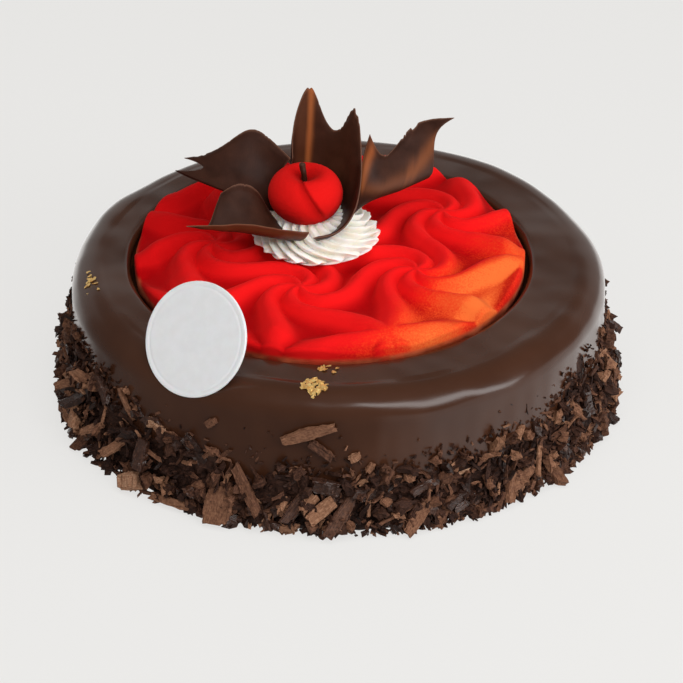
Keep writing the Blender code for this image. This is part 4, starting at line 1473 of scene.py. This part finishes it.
    def surface(self, seat: Array) -> Skin:
        """The disc: its top, the rings of its edge and a fan of triangles below.

        Args:
            seat: the cream's place, x and y.

        Returns:
            The insert's skin.
        """
        values = self.top(seat)
        start = len(values)
        number = np.arange(start).reshape(self.cells + 1, -1)
        rim = np.concatenate([number[0, :-1], number[:-1, -1], number[-1, :0:-1], number[:0:-1, 0]])
        rings = self.edge(values[rim])
        count = len(rim)
        values = np.concatenate([values, *rings, rings[-1].mean(axis=0, keepdims=True)])
        face = grid_quads(self.cells + 1, self.cells + 1)
        band = grid_quads(len(rings), count, closed=True) + start
        after = np.roll(np.arange(count), -1)
        join = np.stack([rim, start + np.arange(count), start + after, rim[after]], axis=1)
        low = start + (len(rings) - 1) * count
        fan = np.stack([low + after, low + np.arange(count), np.full(count, len(values) - 1)], axis=1)
        values[:, :2] += self.centre
        return Skin(values, np.concatenate([face, join, band[:, ::-1]]), fan, ("warm", "hollow", "side"))

    def build(self, seat: Array) -> None:
        """Puts the insert in the scene, with the cream's place on it.

        Args:
            seat: the cream's place, x and y in the cake's frame.
        """
        skin = self.surface(seat - self.centre)
        piece = skin.piece("velvet_insert", VelvetFinish().material(), Shading.SMOOTH)
        dress(piece, Slot.VELVET, "swirl_insert")


@dataclass
class Cream:
    """The piped rosette that holds the petals and the cherry.

    slope is the section from the middle outwards, as reaches and drops below the top. Each pair
    for the folds is a height and the length between crests.
    """

    centre: tuple[float, float] = (-8.5, 4.6)
    radius: float = 22.4
    seat: float = 60.3
    top: float = 74.0
    ridges: int = 20
    twist: float = math.radians(88)
    late_twist: float = 0.6
    depth: float = 1.7
    slope: tuple = (
        (0.4, 0.0), (5.6, 0.2), (10.2, 1.6), (14.3, 4.0),
        (18.2, 6.4), (21.2, 8.6), (22.6, 10.8), (20.6, 12.2),
    )
    seat_radius: float = 17.0
    point: float = 0.9
    soft_folds: tuple[float, float] = (0.22, 7.0)
    fine_folds: tuple[float, float] = (0.10, 2.6)
    rows: int = 110
    columns: int = 640

    def surface(self) -> Skin:
        """The rosette: a mound whose ridges curve outwards like the arms of a star nozzle.

        r(a, t) = mound(t) + depth(t) (2 |sin(p / 2)|^0.7 - 1.2), with the phase
        p = ridges (a - twist (0.4 q + 0.6 q^4)) + 0.8 sin(3 a + 1), where q is r / radius, so that
        the ridges wind round more and more towards the foot, where they end in points.

        Returns:
            The rosette's skin.
        """
        mound = [(reach, self.top - drop) for reach, drop in self.slope]
        base = [(self.seat_radius, self.seat), (self.slope[0][0], self.seat)]
        section = spline_line((*mound, *base), self.rows)
        azimuth = np.arange(self.columns) * 2 * np.pi / self.columns
        r, z = section[:, :1], section[:, 1:]
        part = np.clip(r / self.radius, 0, 1)
        wind = self.twist * ((1 - self.late_twist) * part + self.late_twist * part**4)
        phase = self.ridges * (azimuth - wind) + 0.8 * np.sin(3 * azimuth + 1.0)
        arm = np.abs(np.sin(phase / 2))
        above = smooth_step((z - self.seat - 0.6) / 2.2)
        depth = self.depth * smooth_step((part - 0.18) / 0.5)
        tooth = (2 * arm**0.7 - 1.2) * depth * above
        point = self.point * smooth_step((part - 0.8) / 0.2) * arm**5 * above
        flat = np.stack(np.broadcast_arrays(r * np.cos(azimuth), r * np.sin(azimuth), z), axis=-1)
        soft = self.soft_folds[0] * ripple(flat, self.soft_folds[1], 61)
        soft += self.fine_folds[0] * ripple(flat, self.fine_folds[1], 62)
        reach = r + (tooth + point) * smooth_step(r / 5) + soft * above
        rise = z + (tooth * 0.75 + soft) * above - 0.5 * point
        x = self.centre[0] + reach * np.cos(azimuth)
        y = self.centre[1] + reach * np.sin(azimuth)
        return Skin.stacks(np.stack(np.broadcast_arrays(x, y, rise), axis=-1)[None])

    def build(self) -> None:
        """Puts the rosette in the scene."""
        piece = self.surface().piece("piped_cream", CreamFinish().material(), Shading.SMOOTH)
        dress(piece, Slot.CREAM, "cream_rosette")


@dataclass(frozen=True)
class PaintedGlowStrip:
    """A strip of a petal painted with the glow of warm light, in shares of its width and its height."""

    start: tuple[float, float]
    end: tuple[float, float]
    width: float
    strength: float

    def glow(self, u: Array, v: Array) -> Array:
        """How strongly each place is painted with the glow: strength exp(-(distance from the strip / width)
        squared).

        Args:
            u: place across the petal, from 0 to 1.
            v: place down the petal, from 0 to 1, which counts half.

        Returns:
            The painted glow.
        """
        (u0, v0), (u1, v1) = self.start, self.end
        long_u, long_v = u1 - u0, v1 - v0
        share = ((u - u0) * long_u + (v - v0) * long_v) / (long_u**2 + long_v**2)
        share = np.clip(share, 0, 1)
        away = np.hypot(u - u0 - share * long_u, (v - v0 - share * long_v) * 0.5)
        return self.strength * near(away, 0.0, self.width)


@dataclass
class Petal:
    """A thin wavy sheet of chocolate.

    The cage's columns run from side to side, each from the free edge down. waves is the height
    of the sheet's waves and the length between them.
    """

    name: str
    node: str
    cage: tuple
    seed: int
    strips: tuple[PaintedGlowStrip, ...] = ()
    lip: bool = False
    nick: float = 0.04
    waves: tuple[float, float] = (0.09, 8.5)
    thickness: float = 1.1
    edge_thickness: float = 0.35
    columns: int = 220
    rows: int = 90

    def surface(self) -> Skin:
        """The sheet as a cubic B-spline surface over the cage, with a ragged free edge.

        The free edge is drawn back by a nick n(u): v = n + (1 - n) v'. The two faces lie half a
        thickness to each side along the surface's normal, and the sheet thins towards its edges.
        A petal with a lip has a free edge below as well.

        Returns:
            The petal's skin.
        """
        cage = np.array(self.cage, float)
        last_column, last_row = cage.shape[0] - 1, cage.shape[1] - 1
        u, v = np.meshgrid(np.linspace(0, 1, self.columns), np.linspace(0, 1, self.rows), indexing="ij")
        ends = smooth_step(u / 0.04) * smooth_step((1 - u) / 0.04)
        line = np.stack([u[:, :1] * last_column * 8, 0 * u[:, :1], 0 * u[:, :1]], axis=-1)
        rough = 0.7 * grain(line, 2.2, self.seed) + 0.3 * grain(line, 0.7, self.seed + 1)
        nick = self.nick * (0.15 * np.abs(rough) + 1.6 * np.clip(rough - 0.35, 0, None))
        down = v + nick * (1 - v) * ends
        middle = spline_surface(cage, u * last_column, down * last_row)
        grown_u, grown_v = np.gradient(middle, axis=0), np.gradient(middle, axis=1)
        normal = np.cross(grown_u, grown_v)
        normal /= np.maximum(np.linalg.norm(normal, axis=-1, keepdims=True), 1e-9)
        waves = self.waves[0] * ripple(middle, self.waves[1], self.seed + 2) * smooth_step(v / 0.1)
        middle = middle + normal * waves[..., None]
        free = np.minimum(v, 1 - v) if self.lip else v
        inside = smooth_step(free / 0.10) * smooth_step(u / 0.03) * smooth_step((1 - u) / 0.03)
        wall = self.edge_thickness + (self.thickness - self.edge_thickness) * inside
        # Painted glow of warm light along the strips.
        warm = np.zeros_like(u)
        for strip in self.strips:
            warm = np.maximum(warm, strip.glow(u, v))
        sides = np.minimum(u, 1 - u)
        edge = 0.8 * (1 - smooth_step(free / 0.035)) + 0.5 * (1 - smooth_step(sides / 0.012))
        marks = [u * 60, v * 60, np.clip(edge, 0, 1), warm]
        half = normal * wall[..., None] / 2
        front = np.concatenate([middle + half, np.stack(marks, axis=-1)], axis=-1)
        back = np.concatenate([middle - half, np.stack(marks, axis=-1)], axis=-1)
        return Skin.sheet(front, back, ("u", "v", "edge", "warm"))

    def build(self, material: bpy.types.Material) -> None:
        """Puts the petal in the scene."""
        piece = self.surface().piece(self.name, material, Shading.SMOOTH, 50)
        dress(piece, Slot.PETAL, self.node)


PETALS = (
    Petal("back_petal", "petal_back", (
        ((-17.2, 18.0, 88.0), (-18.6, 19.4, 80.0), (-18.4, 16.0, 70.8)),
        ((-17.8, 21.0, 101.0), (-16.8, 21.4, 86.0), (-15.6, 17.4, 71.0)),
        ((-10.6, 25.6, 121.5), (-12.8, 23.6, 92.0), (-12.4, 18.0, 71.2)),
        ((-6.2, 24.0, 101.5), (-7.4, 22.2, 86.0), (-8.4, 17.4, 71.2)),
        ((0.4, 21.4, 93.5), (-1.0, 19.4, 84.0), (-4.0, 14.8, 71.0)),
        ((7.0, 19.6, 117.5), (3.4, 15.0, 85.0), (0.0, 10.4, 70.8)),
        ((8.6, 11.4, 92.0), (6.0, 8.0, 81.0), (1.4, 5.0, 70.6)),
        ((8.6, 1.6, 88.6), (5.6, 0.0, 78.0), (0.8, -0.8, 70.2)),
        ((7.2, -6.8, 81.6), (3.8, -5.6, 75.4), (-0.8, -4.8, 69.6)),
        ((3.4, -12.2, 76.0), (0.8, -9.8, 72.8), (-3.4, -7.6, 69.0)),
        ((-2.4, -15.2, 73.6), (-3.8, -12.4, 71.2), (-5.8, -9.2, 68.8)),
        ((-9.2, -16.4, 73.4), (-8.6, -13.4, 71.2), (-8.0, -10.4, 68.8)),
    ), 71, (
        PaintedGlowStrip((0.150, 0.10), (0.150, 0.80), 0.08, 0.12),
        PaintedGlowStrip((0.420, 0.10), (0.400, 0.80), 0.15, 0.05),
        PaintedGlowStrip((0.196, 0.0), (0.202, 0.35), 0.022, 0.80),
        PaintedGlowStrip((0.202, 0.35), (0.190, 0.90), 0.024, 0.80),
    )),
    Petal("left_petal", "petal_left", (
        ((-18.0, 14.8, 89.6), (-22.6, 15.6, 83.0), (-23.2, 13.6, 76.0), (-22.6, 11.0, 69.2)),
        ((-26.0, 22.6, 94.4), (-26.2, 17.0, 85.0), (-26.4, 12.0, 77.6), (-26.4, 7.0, 71.2)),
        ((-33.0, 26.6, 97.8), (-34.0, 19.0, 88.0), (-34.4, 12.6, 81.4), (-34.4, 6.6, 76.6)),
        ((-41.0, 23.8, 91.6), (-41.6, 17.6, 87.2), (-42.0, 11.6, 83.4), (-42.4, 5.4, 80.8)),
        ((-49.0, 22.0, 87.0), (-49.0, 18.0, 85.6), (-49.2, 14.0, 83.8), (-50.0, 8.8, 82.2)),
        ((-58.0, 22.0, 85.6), (-50.4, 18.0, 85.2), (-50.6, 14.6, 84.0), (-61.1, 14.0, 84.7)),
    ), 74),
    Petal("right_petal", "petal_right", (
        ((11.6, 13.8, 100.6), (8.4, 13.8, 90.0), (8.0, 8.8, 79.6), (6.8, 7.6, 73.4), (4.8, 7.4, 69.4)),
        ((15.4, 18.6, 87.6), (14.0, 15.0, 84.6), (13.6, 7.4, 78.0), (9.4, 9.2, 73.6), (5.6, 9.8, 69.4)),
        ((20.4, 22.0, 88.6), (19.8, 17.4, 85.6), (19.2, 8.2, 77.8), (12.0, 12.0, 74.4), (6.2, 12.2, 69.4)),
        ((25.4, 28.0, 95.0), (26.8, 22.4, 88.4), (26.0, 10.4, 76.6), (15.6, 15.6, 76.0), (6.8, 14.4, 69.6)),
        ((31.6, 33.0, 97.0), (33.2, 27.0, 92.4), (32.4, 13.4, 78.2), (23.0, 19.4, 78.0), (14.4, 17.2, 75.0)),
        ((43.6, 37.0, 95.2), (34.6, 28.0, 94.6), (36.8, 16.4, 79.6), (30.0, 20.4, 79.6), (23.0, 20.0, 79.0)),
    ), 77, (
        PaintedGlowStrip((0.96, 0.30), (0.60, 0.40), 0.045, 0.40),
        PaintedGlowStrip((0.60, 0.40), (0.10, 0.48), 0.04, 0.24),
        PaintedGlowStrip((0.07, 0.10), (0.03, 0.45), 0.05, 0.70),
    )),
    Petal("front_petal", "petal_front", (
        ((-43.6, -2, 84), (-45.6, -7, 80.8), (-47.2, -11.4, 77.6), (-48.6, -13.6, 75.2), (-56, -15, 77.4)),
        ((-37.4, 0.4, 88), (-38.2, -5.6, 82), (-38.4, -10.4, 77.2), (-38.8, -14, 73.4), (-40, -16.8, 79)),
        ((-31, 2.2, 84.6), (-31.6, -4, 79.4), (-31.4, -9.6, 75.4), (-31.8, -14.6, 72.6), (-33, -17.6, 80.2)),
        ((-28.4, 2, 79.6), (-27.2, -4.2, 75.4), (-25.6, -9.4, 72.8), (-25, -14.8, 71.6), (-26, -18.2, 78.8)),
        ((-25.4, 1.6, 73.4), (-24, -4, 71.2), (-20.4, -9, 70), (-18, -14, 70), (-18.4, -17.2, 76.8)),
        ((-21.8, 1, 69), (-20, -4, 68.4), (-16.6, -8.2, 68.4), (-12.8, -11.6, 69.2), (-10.8, -15.2, 75.2)),
    ), 80, (
        PaintedGlowStrip((0.10, 0.93), (1.0, 0.92), 0.06, 0.22),
    ), lip=True),
)


@dataclass
class Cherry:
    """The velvet cherry and its chocolate stem."""

    red: Colour = (0.68, 0.008, 0.007)
    # deep is the colour of the painted shade in the dimple, the crease and the lower half.
    deep: Colour = (0.26, 0.001, 0.001)
    half_height: float = 11.4
    dimple: float = 6.0
    dimple_width: float = 5.4
    crease: float = 1.1
    crease_way: float = math.radians(-114)
    crease_lean: float = 0.49
    crease_widths: tuple[float, float] = (0.26, 0.06)
    stem_radius: float = 1.15
    stem_length: float = 10.2
    stem_lean: float = math.radians(-7)
    stem_rows: int = 26
    stem_columns: int = 20
    rows: int = 120
    columns: int = 180

    def __post_init__(self) -> None:
        """Reads the cherry's middle and radius, and the stem's foot, from the CAD nodes."""
        low, high = (np.array(corner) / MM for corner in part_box("cherry"))
        self.centre = (low + high) / 2
        self.centre[2] = low[2] + self.half_height
        self.radius = float(high[0] - low[0]) / 2
        self.foot = float(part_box("cherry_stem")[0].z) / MM

    def ball(self) -> Skin:
        """A flattened ball: r = R sin p, z = H cos p - dimple exp(-(r / w) squared) at the top.

        The crease draws the surface in from the dimple down past the middle, along a line whose
        azimuth grows with the polar angle. It is steep on its right and shallow on its left.
        Painted shade darkens the dimple, the crease and the lower half.

        Returns:
            The cherry's skin.
        """
        polar = np.linspace(0.012, np.pi - 0.012, self.rows)[:, None]
        azimuth = np.arange(self.columns) * 2 * np.pi / self.columns
        turn = np.angle(np.exp(1j * (azimuth - self.crease_way - self.crease_lean * polar)))
        low = smooth_step((2.3 - polar) / 0.6)
        width = np.where(turn < 0, *self.crease_widths)
        inward = self.crease * near(turn, 0.0, width) * low * smooth_step(polar / 0.3)
        r = self.radius * np.sin(polar) * (1 + 0.012 * np.cos(2 * azimuth + 0.6))
        z = self.half_height * np.cos(polar) + 0 * azimuth
        dent = self.dimple * np.exp(-((r / self.dimple_width) ** 2)) * (polar < np.pi / 2)
        valley = 1 + 0.5 * near(turn, 0.0, 0.5)
        z = z - dent * valley**0.4
        squeeze = 1 - inward / self.radius
        x = self.centre[0] + r * squeeze * np.cos(azimuth)
        y = self.centre[1] + r * squeeze * np.sin(azimuth)
        z = self.centre[2] + z * squeeze
        spots = np.stack(np.broadcast_arrays(x, y, z), axis=-1)
        spots = spots + 0.05 * grain(spots, 0.8, 91)[..., None] * (spots - self.centre) / self.radius
        # Painted shade: darker in the dimple, the crease and over the lower half.
        hollow = np.clip(0.8 * dent / self.dimple + 0.6 * inward / self.crease, 0, 1)
        hollow = np.maximum(hollow, smooth_step((polar - 1.7) / 1.2) + 0 * azimuth)
        marks = np.stack([0 * hollow, hollow, 0 * hollow], axis=-1)
        return Skin.stacks(np.concatenate([spots, marks], axis=-1)[None], ("warm", "hollow", "side"))

    def stick(self) -> Skin:
        """The stem: a rod along a leaning line, uneven and knobbly at its broken top.

        Returns:
            The stem's skin.
        """
        along = np.linspace(0, 1, self.stem_rows)[:, None]
        angle = np.arange(self.stem_columns) * 2 * np.pi / self.stem_columns
        length = along * self.stem_length
        round_off = np.sqrt(np.clip(1 - ((along - 0.5) * 2) ** 12, 0.0, 1)) * 0.9 + 0.1
        spot = np.stack(np.broadcast_arrays(2 * np.cos(angle), 2 * np.sin(angle), length), axis=-1)
        uneven = 1 + 0.14 * ripple(spot, 3.5, 95) + 0.10 * near(along, 0.93, 0.06)
        radius = self.stem_radius * round_off * uneven
        x = self.centre[0] + length * math.sin(self.stem_lean) + radius * np.cos(angle)
        y = self.centre[1] + radius * np.sin(angle)
        z = self.foot + length * math.cos(self.stem_lean) + 0 * angle
        flat = 0 * length * angle
        marks = [length + flat, 4 * angle + flat, 0.25 * along**4 + flat, flat]
        return Skin.stacks(np.stack([x, y, z, *marks], axis=-1)[None], ("u", "v", "edge", "warm"))

    def build(self, chocolate: bpy.types.Material) -> None:
        """Puts the cherry and its stem in the scene.

        Args:
            chocolate: the stem's finish.
        """
        velvet = VelvetFinish("cherry_velvet", red=self.red, deep=self.deep).material()
        dress(self.ball().piece("velvet_cherry", velvet, Shading.SMOOTH), Slot.CHERRY, "cherry")
        stem = self.stick().piece("chocolate_stem", chocolate, Shading.SMOOTH, 60)
        dress(stem, Slot.PETAL, "cherry_stem")


@dataclass
class Plaque:
    """The bare round plaque that leans on the shoulder."""

    cake: Cake
    radius: float = 21.0
    thickness: float = 1.3
    azimuth: float = math.radians(-124.6)
    lean: float = math.radians(31.6)
    foot: float = 4.1
    sunk: float = 1.0
    edge: float = 0.45
    line_depth: float = 0.16
    line_inset: float = 1.9
    line_width: float = 0.35
    columns: int = 160

    def build(self) -> None:
        """Makes a disc with rounded edges and a fine moulded line inside its rim."""
        outward = np.array((math.cos(self.azimuth), math.sin(self.azimuth), 0.0))
        normal = outward * math.cos(self.lean) + np.array((0.0, 0.0, math.sin(self.lean)))
        across = np.cross((0.0, 0.0, 1.0), outward)
        upward = np.cross(normal, across)
        fillet = outward * (self.cake.radius - self.cake.shoulder)
        fillet[2] = self.cake.height - self.cake.shoulder
        middle = fillet + normal * (self.cake.shoulder - self.sunk)
        middle = middle + upward * (self.radius - self.foot)
        face = np.linspace(0.3, self.radius - self.edge, 60)
        line = self.line_depth * near(face, self.radius - self.line_inset, self.line_width)
        front = np.stack([face, self.thickness - line], axis=1)
        rim = (self.radius - self.edge, self.thickness - self.edge)
        section = np.concatenate([
            front,
            arc(rim, self.edge, 80, 0, 6),
            arc((rim[0], self.edge), self.edge, 0, -90, 6),
            stretch((rim[0] - 1, 0.0), (0.3, 0.0), 4),
        ])
        angle = np.arange(self.columns) * 2 * np.pi / self.columns
        r, z = section[:, :1], section[:, 1:]
        uneven = r * (1 + 0.0015 * np.sin(3 * angle + 1))
        around = np.cos(angle)[:, None] * across + np.sin(angle)[:, None] * upward
        place = middle + uneven[..., None] * around + z[..., None] * normal
        white = PlaqueFinish().material()
        disc = Skin.stacks(place[None]).piece("bare_plaque", white, Shading.SMOOTH, 60)
        dress(disc, Slot.PLAQUE, "plaque")


# Studio


@dataclass(frozen=True)
class Softbox:
    """A soft light: its direction from the cake, distance, size in metres, glow and roll.

    Angles are degrees: the azimuth from the front to the right, and the roll clockwise as seen
    from the cake. One that isn't mirrored lights the cake without showing in its gloss.
    """

    name: str
    azimuth: float
    elevation: float
    distance: float
    width: float
    height: float
    glow: float
    roll: float = 0.0
    mirrored: bool = True

    def build(self, target: Vector) -> None:
        """Adds the light, facing the target. Glow is the brightness of its face.

        Args:
            target: the place that it faces, in metres.
        """
        azimuth, elevation = math.radians(self.azimuth), math.radians(self.elevation)
        way = Vector((
            math.sin(azimuth) * math.cos(elevation),
            -math.cos(azimuth) * math.cos(elevation),
            math.sin(elevation),
        ))
        light = bpy.data.lights.new(self.name, "AREA")
        light.shape = "RECTANGLE"
        light.size, light.size_y = self.width, self.height
        light.energy = self.glow * math.pi * self.width * self.height
        obj = bpy.data.objects.new(self.name, light)
        obj.location = target + way * self.distance
        obj.rotation_mode = "QUATERNION"
        facing = (-way).to_track_quat("-Z", "Y")
        obj.rotation_quaternion = facing @ Quaternion((0, 0, 1), math.radians(self.roll))
        obj.visible_camera = False
        obj.visible_glossy = self.mirrored
        bpy.context.scene.collection.objects.link(obj)


@dataclass
class Studio:
    """Camera, floor, sky and lights. Places are metres here.

    The pairs from behind_y to horizon_z are where a brightness of the room starts and ends along
    one axis of the direction.
    """

    eye: tuple[float, float, float] = (0.00138, -1.2775, 0.8048)
    target: tuple[float, float, float] = (0.00138, 0.0, 0.01854)
    roll: float = math.radians(0.28)
    lens: float = 208.1
    sky: float = 0.16
    backdrop: float = 0.60
    table: float = 1.014
    behind_y: tuple[float, float] = (0.22, 0.78)
    behind_z: tuple[float, float] = (0.56, 0.47)
    aside_x: tuple[float, float] = (0.1, 0.7)
    aside_y: tuple[float, float] = (0.55, 0.95)
    horizon_z: tuple[float, float] = (0.0, -0.15)
    floor_size: float = 12.0
    softboxes: tuple[Softbox, ...] = (
        Softbox("window", 45, 30, 1.6, 2.6, 0.42, 6.0, -44),
        Softbox("overhead", 10, 76, 1.6, 1.3, 1.0, 2.5, mirrored=False),
        Softbox("rake", 74, 27, 0.6, 0.35, 0.35, 1.8, mirrored=False),
        Softbox("fill", -35, 40, 1.8, 1.2, 0.8, 1.6, mirrored=False),
    )

    def place_camera(self) -> None:
        """Puts the camera where the photograph was taken from."""
        camera = bpy.data.cameras.new("camera")
        camera.lens = self.lens
        camera.sensor_width = 36.0
        camera.clip_end = 100.0
        obj = bpy.data.objects.new("camera", camera)
        obj.location = self.eye
        obj.rotation_mode = "QUATERNION"
        aim = (Vector(self.target) - Vector(self.eye)).to_track_quat("-Z", "Y")
        obj.rotation_quaternion = aim @ Quaternion((0, 0, 1), self.roll)
        bpy.context.scene.collection.objects.link(obj)
        bpy.context.scene.camera = obj

    def lay_floor(self) -> None:
        """Lays a wide pale floor under the cake."""
        half = self.floor_size / 2
        mesh = bpy.data.meshes.new("floor")
        corners = [(-half, -half, 0), (half, -half, 0), (half, half, 0), (-half, half, 0)]
        mesh.from_pydata(corners, [], [(0, 1, 2, 3)])
        mesh.materials.append(FloorFinish().material())
        floor = bpy.data.objects.new("floor", mesh)
        floor.visible_glossy = False
        bpy.context.scene.collection.objects.link(floor)

    def hang_sky(self) -> None:
        """Surrounds the cake with a dim room: a backdrop behind, and a table lit at its right.

        By direction, brightness = backdrop b(y) e(z) + table max(r(x), f(y)) l(z), but not under sky.
        b and f rise to the back, e fades above 28 degrees and is gone at 34, r rises to the right
        and l below the horizon.
        """
        world = bpy.data.worlds.new("room")
        world.use_nodes = True
        tree = world.node_tree
        source = tree.nodes.new("ShaderNodeTexCoord").outputs["Generated"]
        split = tree.nodes.new("ShaderNodeSeparateXYZ")
        tree.links.new(source, split.inputs[0])

        def faded(axis: str, span: tuple[float, float], top: float = 1.0) -> bpy.types.NodeSocket:
            """Rises smoothly as one axis of the direction goes over a span.

            Args:
                axis: X, Y or Z.
                span: where the rise starts and ends.
                top: the brightness at its end.

            Returns:
                The socket with the brightness.
            """
            node = tree.nodes.new("ShaderNodeMapRange")
            node.interpolation_type = "SMOOTHSTEP"
            for key, value in (("From Min", span[0]), ("From Max", span[1]), ("To Max", top)):
                node.inputs[key].default_value = value
            tree.links.new(split.outputs[axis], node.inputs["Value"])
            return node.outputs["Result"]

        def joined(operation: str, first: object, second: object) -> bpy.types.NodeSocket:
            """Joins two brightnesses by one sum.

            Args:
                operation: the sum's Blender name.
                first: a socket.
                second: a socket or a plain brightness.

            Returns:
                The socket with the result.
            """
            node = tree.nodes.new("ShaderNodeMath")
            node.operation = operation
            tree.links.new(first, node.inputs[0])
            if isinstance(second, float):
                node.inputs[1].default_value = second
            else:
                tree.links.new(second, node.inputs[1])
            return node.outputs[0]

        behind = joined("MULTIPLY", faded("Y", self.behind_y), faded("Z", self.behind_z, self.backdrop))
        aside = joined("MAXIMUM", faded("X", self.aside_x), faded("Y", self.aside_y))
        beside = joined("MULTIPLY", aside, faded("Z", self.horizon_z, self.table))
        light = joined("MAXIMUM", joined("ADD", behind, beside), self.sky)
        backdrop = tree.nodes["Background"]
        backdrop.inputs["Color"].default_value = (1.0, 0.99, 0.97, 1.0)
        tree.links.new(light, backdrop.inputs["Strength"])
        bpy.context.scene.world = world

    def build(self) -> None:
        """Sets up the whole studio."""
        self.place_camera()
        self.lay_floor()
        self.hang_sky()
        for softbox in self.softboxes:
            softbox.build(Vector(self.target))
        bpy.context.scene.view_settings.view_transform = "Standard"


def main() -> None:
    """Builds the cake from its foot to its top, then the studio round it."""
    logging.basicConfig(level=logging.INFO, format="%(message)s")
    cake = Cake()
    cake.build()
    Shavings(cake).build()
    GoldLeaf(cake).build()
    cream = Cream()
    VelvetInsert().build(np.array(cream.centre))
    cream.build()
    chocolate = PetalFinish().material()
    for petal in PETALS:
        petal.build(chocolate)
    Cherry().build(chocolate)
    Plaque(cake).build()
    Studio().build()


if __name__ == "__main__":
    main()
